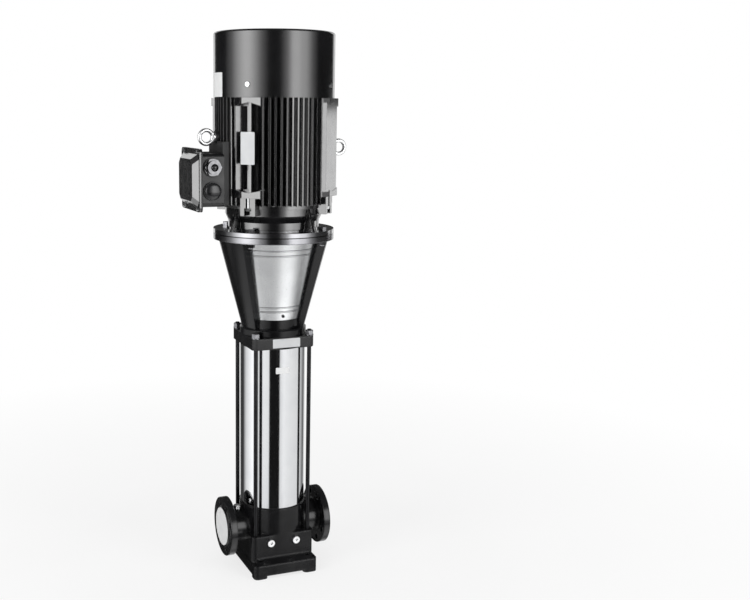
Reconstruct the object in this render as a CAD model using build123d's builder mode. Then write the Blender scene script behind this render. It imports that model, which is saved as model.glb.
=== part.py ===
"""Vertical multistage in-line pump with a flange-mounted, fan-cooled motor.

Millimetres. +Z runs up the shaft, X runs along the line of the two ports (suction at -X,
discharge at +X), and -Y is the front. The origin is on the shaft axis in the plane that the
four feet stand on. Every height is stacked from the driving dimensions below.
"""
import os
from math import atan, cos, degrees, radians, sin

from build123d import *

os.makedirs("parts", exist_ok=True)

# ---------------------------------------------------------------- clearances
fit_gap = 0.05          # still pieces that are pressed or screwed together
running_gap = 0.05      # shaft in a bearing
edge_gap = 0.3          # sheet metal and covers beside their neighbours
bolt_gap = 1.0          # bolt in a drilled clearance hole
hydraulic_gap = 0.6     # impeller in its chamber

# ---------------------------------------------------------------- base casting
foot_height = 10
foot_length = 48
foot_width = 44
plate_length = 226
plate_width = 290
plate_thickness = 37
plate_corner_radius = 14
plate_hole_spacing_x = 170
plate_hole_spacing_y = 240
plate_hole_radius = 7
crown_height = 10
crown_width = 240
block_side = 222
block_corner_radius = 16
block_height = 90
chamber_radius = 114
chamber_height = 91
base_wall = 12
well_radius = 46
well_top_drop = 23
port_height = 147
port_length = 365
port_bore_radius = 40
neck_wall = 16
port_flange_radius = 100
port_flange_thickness = 22
raised_face_radius = 67
raised_face_height = 3
port_hole_circle = 160
port_hole_count = 8
suction_hole_radius = 9
discharge_hole_radius = 9.25

# ---------------------------------------------------------------- pipe plugs
plug_thread_radius = 10.4
plug_thread_length = 14
plug_head_radius = 12
plug_head_height = 7
plug_socket = 10
plug_boss_radius = 16
plug_boss_height = 2
drain_spacing = 91
drain_height = 112
gauge_distance = 129

# ---------------------------------------------------------------- staybolts
staybolt_spacing = 189
staybolt_radius = 7
staybolt_thread = 30
staybolt_end = 4
nut_flats = 24
nut_height = 13
washer_radius = 14
washer_thickness = 3

# ---------------------------------------------------------------- sleeve and gaskets
sleeve_radius = 110.3
sleeve_wall = 2.5
gasket_thickness = 2
spigot_height = 10
spigot_wall = 9

# ---------------------------------------------------------------- pump head
head_side = 216
head_corner_cut = 11
head_thickness = 38
head_recess_depth = 12
seal_bore_radius = 34
vent_offset = 62
vent_height_drop = 18

# ---------------------------------------------------------------- hydraulic stages
stage_count = 6
stage_pitch = 80
stage_start = 8
spacer_height = 79
chamber_outer_radius = 97
chamber_wall = 3
stage_plate = 4
eye_radius = 50
return_vane_count = 6
return_vane_thickness = 4
impeller_radius = 82
impeller_blade_count = 6
impeller_blade_thickness = 3
impeller_shroud = 3
impeller_channel = 22
impeller_lift = 8
hub_radius = 22
hub_gap = 2
bearing_hub_radius = 26
bush_wall = 6
spider_width = 10

# ---------------------------------------------------------------- pump shaft and seal
pump_shaft_radius = 14
shaft_end_drop = 10
seal_cover_radius = 60
seal_cover_thickness = 12
seal_seat_height = 10
seal_seat_wall = 14
seal_unit_radius = 27
seal_unit_length = 32
seal_face_gap = 0.1

# ---------------------------------------------------------------- motor stool
stool_foot_radius = 112
stool_foot_thickness = 24
stool_foot_bore = 64
neck_radius = 92
neck_ring_wall = 8
neck_height = 31
guard_overlap = 24
leg_root_radius = 110
leg_top_radius = 183
window_half_angle = 53
stool_height = 339
stool_rim_radius = 200
stool_rim_thickness = 20
stool_rim_spigot = 5
stool_screw_circle = 148
stool_screw_radius = 6
stool_screw_depth = 18
stool_screw_head_radius = 9
stool_screw_head_height = 12

# ---------------------------------------------------------------- coupling guards
guard_thickness = 1.2
guard_top_gap = 4
guard_top_radius = 150
guard_edge_angle = 0.15
bead_height = 6
bead_rise = 1.6
bead_levels = (29, 43, 219, 236)
guard_screw_level = 14
guard_screw_radius = 2.5
guard_screw_head_radius = 5
guard_screw_head_height = 3
guard_screw_length = 9

# ---------------------------------------------------------------- coupling
coupling_radius = 54
coupling_split = 2
coupling_motor_length = 80
coupling_pump_length = 78
coupling_bolt_radius = 5
coupling_bolt_offset = 39
coupling_bolt_head_radius = 8
coupling_bolt_head_height = 10
coupling_bolt_margin = 32

# ---------------------------------------------------------------- motor flange shield
motor_flange_thickness = 15
motor_spigot_height = 4
motor_spigot_radius = 149.95
flange_bolt_circle = 350
flange_bolt_radius = 8
flange_bolt_flats = 24
flange_bolt_head = 10
shield_groove_height = 6
shield_groove_radius = 146
shield_barrel_radius = 151
shield_barrel_height = 22
shield_rim_radius = 161
shield_rim_height = 23
shield_height = 88
shield_wall = 12
gusset_thickness = 9
gusset_angle = 23
gusset_top_radius = 165
gusset_foot_radius = 188
ear_width = 52
ear_reach = 3
ear_slot_width = 13
ear_pocket_width = 24
ear_pocket_height = 25
shield_bolt_inset = 6
shield_bolt_radius = 6
shield_bolt_flats = 19
shield_bolt_head = 9
shield_bolt_thread = 15

# ---------------------------------------------------------------- motor frame
frame_length = 392
frame_bore_radius = 150
frame_wall = 12
frame_ledge_radius = 171
frame_ledge_height = 13
fin_tip_radius = 194
fin_pitch = 17.9
fin_count = 12
fin_thickness = 5
corner_reach = 12
corner_half_width = 48
corner_block_top_height = 26
corner_block_base_height = 25
corner_block_base_gap = 38
corner_groove_width = 5
corner_groove_depth = 7
corner_groove_offset = -17
corner_slant = 14
top_notch = 12
base_notch = 8
corner_rib_width = 8.6
corner_rib_offset = 8
corner_rib_reach = 3
box_pad_half_width = 74
box_pad_reach = 6
box_pad_base = 10
box_pad_height = 202
eye_boss_radius = 20
eye_boss_reach = 9
left_eye_height = 225
right_eye_height = 190

# ---------------------------------------------------------------- stator, rotor, bearings
stack_length = 250
stack_start = 42
air_gap = 1
rotor_radius = 88
winding_radius = 138
winding_inner = 96
winding_height = 44
rotor_ring_height = 16
motor_shaft_radius = 27.5
motor_shaft_drop = 110
rotor_seat_radius = 36
bearing_seat_radius = 30
bearing_radius = 65
bearing_width = 31
bearing_ring_wall = 8
drive_bearing_height = 22
fan_seat_radius = 22

# ---------------------------------------------------------------- rear shield, cowl and fan
rear_bearing_inset = 12
rear_shield_inset = 12
rear_shield_thickness = 26
rear_hub_wall = 12
rear_hub_rise = 4
rear_ear_drop = 14
rear_ear_width = 30
cowl_clearance = 1
cowl_sheet = 2
cowl_height = 207
cowl_overlap = 42
cowl_edge_radius = 8
cowl_screw_rise = 40
cowl_screw_radius = 4
cowl_screw_head_radius = 7
cowl_screw_head_height = 3.5
cowl_screw_length = 16
grille_slot = 7
grille_pitch = 16
grille_rings = 6
grille_start = 38
grille_spoke = 9
fan_radius = 158
fan_hub_radius = 40
fan_blade_count = 8
fan_blade_thickness = 4
fan_blade_width = 44
fan_disc_thickness = 4
fan_lift = 26

# ---------------------------------------------------------------- terminal box
box_depth = 80
box_half_width = 92
box_height = 168
box_wall = 5
box_centre_height = 92
box_rim_half_width = 104
box_rim_height = 198
box_rim_thickness = 5
box_corner_radius = 14
lid_rim_thickness = 5
lid_rise = 17
lid_wall = 6
lid_base_half_width = 95
lid_base_height = 164
lid_corner_cut = 16
lid_face_half_width = 77
lid_face_height = 132
lid_screw_y = 76
lid_screw_z = 90
lid_screw_radius = 3
lid_screw_head_radius = 6
lid_screw_head_height = 4
lid_screw_length = 12
entry_spacing = 75
entry_boss_radius = 30
entry_boss_height = 5
entry_radius = 22
entry_setback = 40
entry_rise = 4
cable_way_radius = 20
cable_way_rise = 34
gland_length = 22
gland_radius = 24
gland_bore_radius = 12
plug_disc_thickness = 3
board_length = 110
board_width = 60
board_thickness = 12
board_stud_radius = 4
board_stud_height = 18
board_drop = 34

# ---------------------------------------------------------------- eyebolts and nameplate
eye_ring_radius = 22
eye_ring_section = 6.5
eye_collar_radius = 15
eye_collar_height = 6
eye_shank_radius = 8
eye_shank_length = 22
nameplate_width = 48
nameplate_height = 101
nameplate_thickness = 1
nameplate_rise = 143

# ---------------------------------------------------------------- stacked heights
sleeve_span = stage_start + stage_count * stage_pitch + spacer_height - head_recess_depth
plate_top = foot_height + plate_thickness
block_top = plate_top + block_height
shoulder = block_top + chamber_height
head_bottom = shoulder + sleeve_span
head_top = head_bottom + head_thickness
stool_foot_top = head_top + stool_foot_thickness
guard_bottom = stool_foot_top + neck_height
window_bottom = guard_bottom + guard_overlap
stool_top = head_top + stool_height
stool_rim_bottom = stool_top - stool_rim_thickness
window_top = stool_rim_bottom
shield_joint = stool_top + shield_height
frame_top = shield_joint + frame_length
cowl_bottom = frame_top - cowl_overlap
cowl_top = cowl_bottom + cowl_height
well_top = shoulder - well_top_drop
stack_bottom = shoulder + stage_start
stack_top = stack_bottom + stage_count * stage_pitch
recess_top = head_bottom + head_recess_depth

# ---------------------------------------------------------------- derived radii
sleeve_inner = sleeve_radius - sleeve_wall
spigot_radius = sleeve_inner - edge_gap
port_half = port_length / 2
port_neck_radius = port_bore_radius + neck_wall
frame_radius = frame_bore_radius + frame_wall
ear_outer_radius = fin_tip_radius + ear_reach
shield_bolt_circle = 2 * (fin_tip_radius - shield_bolt_inset)
corner_face = fin_tip_radius + corner_reach
corner_rib_face = fin_tip_radius + corner_rib_reach
box_pad_face = fin_tip_radius + box_pad_reach
eye_boss_face = fin_tip_radius + eye_boss_reach
cowl_inner = fin_tip_radius + cowl_clearance
cowl_radius = cowl_inner + cowl_sheet
guard_base_radius = neck_radius
guard_height = window_top - guard_bottom - guard_top_gap
guard_slope = (guard_top_radius - guard_base_radius) / guard_height
corner_angle = 45
corner_pitch = 90


def level(height):
    """A horizontal plane at the given height."""
    return Plane.XY.offset(height)


def radial_plane(angle):
    """The vertical half plane at an angle from +X: its x runs outwards and its y runs up."""
    along = (cos(radians(angle)), sin(radians(angle)), 0)
    across = (sin(radians(angle)), -cos(radians(angle)), 0)
    return Plane(origin=(0, 0, 0), x_dir=along, z_dir=across)


def facing_plane(angle, distance):
    """The vertical plane that faces outwards at an angle from +X: its y runs up."""
    return radial_plane(angle + 90).offset(distance)


def profile(*points, angle=0):
    """A closed half profile of (radius, height) points, ready to revolve about the axis."""
    with BuildSketch(radial_plane(angle)) as outline:
        with BuildLine():
            Polyline(*points, close=True)
        make_face()
    return outline.sketch


def ring(inner, outer, bottom, top):
    """The half profile of a plain ring."""
    return profile((inner, bottom), (outer, bottom), (outer, top), (inner, top))


# ================================================================ pump base
with BuildPart() as pump_base:
    with BuildSketch(level(foot_height)):
        RectangleRounded(plate_length, plate_width, plate_corner_radius)
    extrude(amount=plate_thickness)
    with BuildSketch():
        with GridLocations(plate_length - foot_length, plate_width - foot_width, 2, 2):
            RectangleRounded(foot_length, foot_width, plate_corner_radius)
    extrude(amount=foot_height)
    # the plate's crowned top, from the plate's edge up to the foot of the block
    with BuildSketch(level(plate_top)):
        Rectangle(plate_length - 2 * plate_corner_radius, plate_width - 2)
    with BuildSketch(level(plate_top + crown_height)):
        Rectangle(plate_length - 2 * plate_corner_radius - 2, crown_width)
    loft()
    with BuildSketch(level(plate_top)):
        RectangleRounded(block_side, block_side, block_corner_radius)
    extrude(amount=block_height)
    with BuildSketch(level(block_top)):
        Circle(chamber_radius)
    extrude(amount=chamber_height)
    with BuildSketch(level(shoulder)):
        Circle(spigot_radius)
    extrude(amount=spigot_height)
    # port necks and flanges, with their raised sealing faces
    with BuildSketch(Plane.YZ.offset(-port_half + raised_face_height)):
        with Locations((0, port_height)):
            Circle(port_neck_radius)
    extrude(amount=port_length - 2 * raised_face_height)
    for side, hole_radius in ((-1, suction_hole_radius), (1, discharge_hole_radius)):
        with BuildSketch(Plane.YZ.offset(side * (port_half - raised_face_height))):
            with Locations((0, port_height)):
                Circle(port_flange_radius)
                with PolarLocations(port_hole_circle / 2, port_hole_count, 180 / port_hole_count):
                    Circle(hole_radius, mode=Mode.SUBTRACT)
        extrude(amount=-side * port_flange_thickness)
        with BuildSketch(Plane.YZ.offset(side * (port_half - raised_face_height))):
            with Locations((0, port_height)):
                Circle(raised_face_radius)
        extrude(amount=side * raised_face_height)
    # bosses for the drain plugs in front and the gauge plugs on the necks
    with BuildSketch(Plane.XZ.offset(block_side / 2)):
        with Locations((-drain_spacing / 2, drain_height), (drain_spacing / 2, drain_height)):
            Circle(plug_boss_radius)
    extrude(amount=plug_boss_height)
    with BuildSketch(level(port_height + port_bore_radius + neck_wall / 2)):
        with Locations((-gauge_distance, 0), (gauge_distance, 0)):
            Circle(plug_boss_radius)
    extrude(amount=neck_wall / 2 + plug_boss_height)
    # discharge chamber round the suction well, open at the top
    with BuildSketch(level(well_top)):
        Circle(spigot_radius - spigot_wall)
    extrude(amount=shoulder + spigot_height - well_top, mode=Mode.SUBTRACT)
    with BuildSketch(level(block_top + base_wall)):
        Circle(spigot_radius - spigot_wall)
        Circle(well_radius + base_wall, mode=Mode.SUBTRACT)
    extrude(amount=well_top - block_top - base_wall, mode=Mode.SUBTRACT)
    # suction duct, which crosses the discharge chamber to the well
    with BuildSketch(Plane.YZ.offset(-chamber_radius + base_wall)):
        with Locations((0, port_height)):
            Circle(port_bore_radius + base_wall)
    extrude(amount=chamber_radius - base_wall - well_radius - base_wall / 2)
    with BuildSketch(level(port_height - port_bore_radius)):
        Circle(well_radius)
    extrude(amount=well_top - port_height + port_bore_radius, mode=Mode.SUBTRACT)
    with BuildSketch(Plane.YZ.offset(-port_half)):
        with Locations((0, port_height)):
            Circle(port_bore_radius)
    extrude(amount=port_half, mode=Mode.SUBTRACT)
    with BuildSketch(Plane.YZ.offset(port_half)):
        with Locations((0, port_height)):
            Circle(port_bore_radius)
    extrude(amount=-(port_half - well_radius - base_wall - 8), mode=Mode.SUBTRACT)
    # holes: base plate, staybolts, plugs
    with Locations(level(plate_top)):
        with GridLocations(plate_hole_spacing_x, plate_hole_spacing_y, 2, 2):
            Hole(plate_hole_radius, depth=plate_top)
    with Locations(level(block_top)):
        with GridLocations(staybolt_spacing, staybolt_spacing, 2, 2):
            Hole(staybolt_radius + fit_gap, depth=staybolt_thread)
    with BuildSketch(Plane.XZ.offset(block_side / 2 + plug_boss_height)):
        with Locations((-drain_spacing / 2, drain_height), (drain_spacing / 2, drain_height)):
            Circle(plug_thread_radius + fit_gap)
    extrude(amount=-plug_thread_length - 1, mode=Mode.SUBTRACT)
    with BuildSketch(level(port_height + port_neck_radius + plug_boss_height)):
        with Locations((-gauge_distance, 0), (gauge_distance, 0)):
            Circle(plug_thread_radius + fit_gap)
    extrude(amount=-plug_thread_length - 1, mode=Mode.SUBTRACT)
pump_base.part.label = "pump_base"
export_step(pump_base.part, "parts/pump_base.step")

# ================================================================ drain and gauge plugs
with BuildPart() as pipe_plugs:
    for x in (-drain_spacing / 2, drain_spacing / 2):
        seat = Plane.XZ.offset(block_side / 2 + plug_boss_height)
        with BuildSketch(seat):
            with Locations((x, drain_height)):
                Circle(plug_head_radius)
        extrude(amount=plug_head_height)
        with BuildSketch(seat):
            with Locations((x, drain_height)):
                Circle(plug_thread_radius)
        extrude(amount=-plug_thread_length)
        with BuildSketch(seat.offset(plug_head_height)):
            with Locations((x, drain_height)):
                RegularPolygon(plug_socket / 2, 6, major_radius=False)
        extrude(amount=-plug_head_height, mode=Mode.SUBTRACT)
    for x in (-gauge_distance, gauge_distance):
        with BuildSketch(level(port_height + port_neck_radius + plug_boss_height)):
            with Locations((x, 0)):
                RegularPolygon(plug_head_radius - 1, 6, major_radius=False)
        extrude(amount=plug_head_height + 5)
        with BuildSketch(level(port_height + port_neck_radius + plug_boss_height)):
            with Locations((x, 0)):
                Circle(plug_thread_radius)
        extrude(amount=-plug_thread_length)
pipe_plugs.part.label = "pipe_plugs"
export_step(pipe_plugs.part, "parts/pipe_plugs.step")

# ================================================================ staybolts
staybolt_bottom = block_top - staybolt_thread
staybolt_top = head_top + washer_thickness + nut_height + staybolt_end
with BuildPart() as staybolts:
    with BuildSketch(level(staybolt_bottom + 1)):
        with GridLocations(staybolt_spacing, staybolt_spacing, 2, 2):
            Circle(staybolt_radius)
    extrude(amount=staybolt_top - staybolt_bottom - 1)
staybolts.part.label = "staybolts"
export_step(staybolts.part, "parts/staybolts.step")

with BuildPart() as staybolt_nuts:
    with BuildSketch(level(head_top)):
        with GridLocations(staybolt_spacing, staybolt_spacing, 2, 2):
            Circle(washer_radius)
            Circle(staybolt_radius + fit_gap, mode=Mode.SUBTRACT)
    extrude(amount=washer_thickness)
    with BuildSketch(level(head_top + washer_thickness)):
        with GridLocations(staybolt_spacing, staybolt_spacing, 2, 2):
            RegularPolygon(nut_flats / 2, 6, major_radius=False)
            Circle(staybolt_radius + fit_gap, mode=Mode.SUBTRACT)
    extrude(amount=nut_height)
staybolt_nuts.part.label = "staybolt_nuts"
export_step(staybolt_nuts.part, "parts/staybolt_nuts.step")

# ================================================================ sleeve and its gaskets
with BuildPart() as sleeve_gaskets:
    revolve(ring(sleeve_inner, sleeve_radius, shoulder, shoulder + gasket_thickness))
    revolve(ring(sleeve_inner, sleeve_radius, head_bottom - gasket_thickness, head_bottom))
sleeve_gaskets.part.label = "sleeve_gaskets"
export_step(sleeve_gaskets.part, "parts/sleeve_gaskets.step")

with BuildPart() as outer_sleeve:
    with BuildSketch(level(shoulder + gasket_thickness)):
        Circle(sleeve_radius)
        Circle(sleeve_inner, mode=Mode.SUBTRACT)
    extrude(amount=sleeve_span - 2 * gasket_thickness)
outer_sleeve.part.label = "outer_sleeve"
export_step(outer_sleeve.part, "parts/outer_sleeve.step")

# ================================================================ pump head
with BuildPart() as pump_head:
    with BuildSketch(level(head_bottom)):
        Rectangle(head_side, head_side)
        chamfer(vertices(), head_corner_cut)
    extrude(amount=head_thickness)
    with BuildSketch(level(head_bottom)):
        Circle(spigot_radius)
    extrude(amount=-spigot_height)
    with BuildSketch(level(head_bottom - spigot_height)):
        Circle(spigot_radius - spigot_wall)
    extrude(amount=spigot_height + head_recess_depth, mode=Mode.SUBTRACT)
    with BuildSketch(level(recess_top)):
        Circle(seal_bore_radius)
    extrude(amount=head_top - recess_top, mode=Mode.SUBTRACT)
    with Locations(level(head_top)):
        with GridLocations(staybolt_spacing, staybolt_spacing, 2, 2):
            Hole(staybolt_radius + bolt_gap, depth=head_thickness)
        with PolarLocations(stool_screw_circle / 2, 4, corner_angle):
            Hole(stool_screw_radius + fit_gap, depth=stool_screw_depth + 1)
    with BuildSketch(Plane.XZ.offset(-head_side / 2)):
        with Locations((vent_offset, head_top - vent_height_drop)):
            Circle(plug_thread_radius + fit_gap)
    extrude(amount=plug_thread_length + 1, mode=Mode.SUBTRACT)
pump_head.part.label = "pump_head"
export_step(pump_head.part, "parts/pump_head.step")

# ================================================================ vent plug and its screw
vent_seat = Plane.XZ.offset(-head_side / 2)
vent_spot = (vent_offset, head_top - vent_height_drop)
with BuildPart() as vent_plug:
    with BuildSketch(vent_seat):
        with Locations(vent_spot):
            RegularPolygon(plug_head_radius, 6, major_radius=False)
    extrude(amount=-plug_head_height)
    with BuildSketch(vent_seat):
        with Locations(vent_spot):
            Circle(plug_thread_radius)
    extrude(amount=plug_thread_length)
    with BuildSketch(vent_seat.offset(-plug_head_height)):
        with Locations(vent_spot):
            Circle(plug_socket / 2 + running_gap)
    extrude(amount=plug_head_height + plug_thread_length - 3, mode=Mode.SUBTRACT)
vent_plug.part.label = "vent_plug"
export_step(vent_plug.part, "parts/vent_plug.step")

with BuildPart() as vent_screw:
    with BuildSketch(vent_seat.offset(plug_thread_length - 4)):
        with Locations(vent_spot):
            Circle(plug_socket / 2)
    extrude(amount=-(plug_head_height + plug_thread_length))
    with BuildSketch(vent_seat.offset(-plug_head_height - edge_gap)):
        with Locations(vent_spot):
            Circle(plug_socket / 2 + 3)
    extrude(amount=-5)
    with BuildSketch(vent_seat.offset(-plug_head_height - edge_gap - 5)):
        with Locations(vent_spot):
            Rectangle(plug_socket + 8, 2)
    extrude(amount=2, mode=Mode.SUBTRACT)
vent_screw.part.label = "vent_screw"
export_step(vent_screw.part, "parts/vent_screw.step")

# ================================================================ suction interconnector
with BuildPart() as suction_interconnector:
    revolve(profile((well_radius, well_top), (well_radius + base_wall, well_top),
                    (chamber_outer_radius, stack_bottom - 10),
                    (chamber_outer_radius, stack_bottom), (eye_radius, stack_bottom),
                    (well_radius, stack_bottom - 12)))
    # spider that carries the lower bearing
    with BuildSketch(level(well_top)):
        Circle(bearing_hub_radius)
        with PolarLocations((bearing_hub_radius + well_radius) / 2, 3, 90):
            Rectangle(well_radius - bearing_hub_radius + 8, spider_width)
    extrude(amount=stack_bottom - 14 - well_top)
    with Locations(level(stack_bottom - 14)):
        Hole(pump_shaft_radius + bush_wall + fit_gap, depth=stack_bottom - 14 - well_top)
suction_interconnector.part.label = "suction_interconnector"
export_step(suction_interconnector.part, "parts/suction_interconnector.step")

with BuildPart() as bottom_bearing:
    revolve(ring(pump_shaft_radius + running_gap, pump_shaft_radius + bush_wall,
                 well_top, stack_bottom - 14))
bottom_bearing.part.label = "bottom_bearing"
export_step(bottom_bearing.part, "parts/bottom_bearing.step")

# ================================================================ stages
shroud_bottom = impeller_lift
channel_bottom = shroud_bottom + impeller_shroud
channel_top = channel_bottom + impeller_channel
back_top = channel_top + impeller_shroud
guide_bottom = back_top + stage_plate
for stage in range(stage_count):
    floor = stack_bottom + stage * stage_pitch
    with BuildPart() as stage_chamber:
        with BuildSketch(level(floor)):
            Circle(chamber_outer_radius)
            Circle(chamber_outer_radius - chamber_wall, mode=Mode.SUBTRACT)
        extrude(amount=stage_pitch)
        with BuildSketch(level(floor)):
            Circle(chamber_outer_radius - chamber_wall)
            Circle(eye_radius, mode=Mode.SUBTRACT)
        extrude(amount=stage_plate)
        # plate over the impeller, and the return vanes that hang it from the wall
        with BuildSketch(level(floor + guide_bottom)):
            Circle(impeller_radius + hub_gap)
            Circle(hub_radius + hub_gap, mode=Mode.SUBTRACT)
        extrude(amount=stage_plate)
        vane_length = chamber_outer_radius - chamber_wall - hub_radius - 2 * hub_gap
        with BuildSketch(level(floor + guide_bottom)):
            with PolarLocations(hub_radius + 2 * hub_gap + vane_length / 2, return_vane_count):
                Rectangle(vane_length + 1, return_vane_thickness)
        extrude(amount=stage_pitch - guide_bottom)
    stage_chamber.part.label = f"stage_chamber_{stage + 1}"
    export_step(stage_chamber.part, f"parts/stage_chamber_{stage + 1}.step")

    with BuildPart() as impeller:
        revolve(profile((pump_shaft_radius + fit_gap, floor + channel_bottom),
                        (hub_radius, floor + channel_bottom), (hub_radius, floor + channel_top),
                        (impeller_radius, floor + channel_top), (impeller_radius, floor + back_top),
                        (hub_radius, floor + back_top),
                        (hub_radius, floor + guide_bottom + stage_plate + hub_gap),
                        (pump_shaft_radius + fit_gap, floor + guide_bottom + stage_plate + hub_gap)))
        revolve(profile((eye_radius - impeller_shroud - hydraulic_gap, floor + 1),
                        (eye_radius - hydraulic_gap, floor + 1),
                        (eye_radius - hydraulic_gap, floor + shroud_bottom),
                        (impeller_radius, floor + shroud_bottom),
                        (impeller_radius, floor + channel_bottom),
                        (eye_radius - impeller_shroud - hydraulic_gap, floor + channel_bottom)))
        for blade in range(impeller_blade_count):
            turn = 360 / impeller_blade_count * blade
            with BuildSketch(level(floor + channel_bottom).rotated((0, 0, turn))):
                with BuildLine():
                    ThreePointArc((hub_radius + 16, 0), (impeller_radius - 20, 16),
                                  (impeller_radius - 12, 38))
                trace(line_width=impeller_blade_thickness)
            extrude(amount=impeller_channel)
    impeller.part.label = f"impeller_{stage + 1}"
    export_step(impeller.part, f"parts/impeller_{stage + 1}.step")

# ================================================================ discharge spacer
with BuildPart() as discharge_spacer:
    revolve(ring(chamber_outer_radius - chamber_wall, chamber_outer_radius, stack_top, recess_top))
    with BuildSketch(level(stack_top + base_wall)):
        with PolarLocations(chamber_outer_radius, 4, corner_angle):
            Rectangle(4 * chamber_wall, chamber_outer_radius * 0.8)
    extrude(amount=recess_top - stack_top - 2 * base_wall, mode=Mode.SUBTRACT)
discharge_spacer.part.label = "discharge_spacer"
export_step(discharge_spacer.part, "parts/discharge_spacer.step")

# ================================================================ shaft seal
seat_bottom = head_top - seal_seat_height
seat_bore = pump_shaft_radius + 2
with BuildPart() as seal_cover:
    revolve(ring(seat_bore, seal_cover_radius, head_top, head_top + seal_cover_thickness))
    revolve(ring(seat_bore + seal_seat_wall + fit_gap, seal_bore_radius - fit_gap,
                 seat_bottom, head_top))
seal_cover.part.label = "seal_cover"
export_step(seal_cover.part, "parts/seal_cover.step")

with BuildPart() as seal_seat:
    revolve(ring(seat_bore, seat_bore + seal_seat_wall, seat_bottom, head_top))
seal_seat.part.label = "seal_seat"
export_step(seal_seat.part, "parts/seal_seat.step")

with BuildPart() as seal_unit:
    unit_top = seat_bottom - seal_face_gap
    revolve(profile((pump_shaft_radius + fit_gap, unit_top - seal_unit_length),
                    (seal_unit_radius - 5, unit_top - seal_unit_length),
                    (seal_unit_radius - 5, unit_top - 10), (seal_unit_radius, unit_top - 10),
                    (seal_unit_radius, unit_top), (pump_shaft_radius + fit_gap, unit_top)))
seal_unit.part.label = "seal_unit"
export_step(seal_unit.part, "parts/seal_unit.step")

# ================================================================ motor stool
with BuildPart() as motor_stool:
    neck_inner = neck_radius - neck_ring_wall
    inner_top = guard_top_radius - neck_ring_wall
    revolve(profile((stool_foot_bore, head_top), (stool_foot_radius, head_top),
                    (stool_foot_radius, stool_foot_top - 4), (stool_foot_radius - 4, stool_foot_top),
                    (leg_root_radius - 4, stool_foot_top), (leg_top_radius, stool_rim_bottom),
                    (stool_rim_radius, stool_rim_bottom), (stool_rim_radius, stool_top),
                    (motor_spigot_radius + fit_gap, stool_top),
                    (motor_spigot_radius + fit_gap, stool_top - stool_rim_spigot),
                    (inner_top, stool_top - stool_rim_spigot), (inner_top, window_top),
                    (neck_inner, guard_bottom), (neck_inner, stool_foot_top),
                    (stool_foot_bore, stool_foot_top)))
    # two windows, front and back, between the legs
    reach = 2 * stool_rim_radius
    spread = reach * sin(radians(window_half_angle)) / cos(radians(window_half_angle))
    with BuildSketch(level(window_bottom)) as window_shape:
        Polygon((0, 0), (spread, reach), (-spread, reach), align=None)
        Polygon((0, 0), (-spread, -reach), (spread, -reach), align=None)
    extrude(amount=window_top - window_bottom, mode=Mode.SUBTRACT)
    # neck between the legs, and the step above it that the guards lie on
    with BuildSketch(level(stool_foot_top)):
        Polygon((0, 0), (spread, reach), (-spread, reach), align=None)
        Polygon((0, 0), (-spread, -reach), (spread, -reach), align=None)
        Circle(neck_radius, mode=Mode.SUBTRACT)
    extrude(amount=neck_height, mode=Mode.SUBTRACT)
    land = guard_base_radius - guard_thickness - edge_gap
    land_rise = guard_slope * guard_overlap
    for start in (-90 - window_half_angle, 90 - window_half_angle):
        revolve(profile((land, guard_bottom), (reach, guard_bottom), (reach, window_bottom),
                        (land + land_rise, window_bottom), angle=start),
                revolution_arc=2 * window_half_angle, mode=Mode.SUBTRACT)
    with Locations(level(stool_foot_top)):
        with PolarLocations(stool_screw_circle / 2, 4, corner_angle):
            Hole(stool_screw_radius + edge_gap, depth=stool_foot_thickness)
    with Locations(level(stool_top)):
        with PolarLocations(flange_bolt_circle / 2, 4, corner_angle):
            Hole(flange_bolt_radius + bolt_gap, depth=stool_rim_thickness)
    # tapped holes for the guard screws, square to the sloping guard
    screw_face = guard_base_radius + guard_slope * guard_screw_level
    tilt = degrees(atan(guard_slope))
    for side in (-1, 1):
        guard_face = Plane(origin=(0, side * screw_face, guard_bottom + guard_screw_level),
                           x_dir=(1, 0, 0),
                           z_dir=(0, side * cos(radians(tilt)), -sin(radians(tilt))))
        with BuildSketch(guard_face):
            Circle(guard_screw_radius)
        extrude(amount=-3 * neck_ring_wall, mode=Mode.SUBTRACT)
motor_stool.part.label = "motor_stool"
export_step(motor_stool.part, "parts/motor_stool.step")

with BuildPart() as stool_screws:
    with BuildSketch(level(stool_foot_top)):
        with PolarLocations(stool_screw_circle / 2, 4, corner_angle):
            Circle(stool_screw_head_radius)
    extrude(amount=stool_screw_head_height)
    with BuildSketch(level(stool_foot_top)):
        with PolarLocations(stool_screw_circle / 2, 4, corner_angle):
            Circle(stool_screw_radius)
    extrude(amount=-stool_foot_thickness - stool_screw_depth)
    with BuildSketch(level(stool_foot_top + stool_screw_head_height)):
        with PolarLocations(stool_screw_circle / 2, 4, corner_angle):
            RegularPolygon(plug_socket / 2, 6, major_radius=False)
    extrude(amount=-stool_screw_head_height / 2, mode=Mode.SUBTRACT)
stool_screws.part.label = "stool_screws"
export_step(stool_screws.part, "parts/stool_screws.step")

# ================================================================ coupling guards


def guard_section(start):
    """Section of the sloping sheet with its rolled beads, on the half plane at start."""
    outside = [(guard_base_radius, guard_bottom)]
    for bead in sorted(bead_levels):
        for rise, height in ((0, -bead_height / 2), (bead_rise, -1), (bead_rise, 1),
                             (0, bead_height / 2)):
            radius = guard_base_radius + guard_slope * (bead + height)
            outside.append((radius + rise, guard_bottom + bead + height))
    outside.append((guard_top_radius, guard_bottom + guard_height))
    inside = [(radius - guard_thickness, height) for radius, height in reversed(outside)]
    return profile(*outside, *inside, angle=start)


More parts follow.
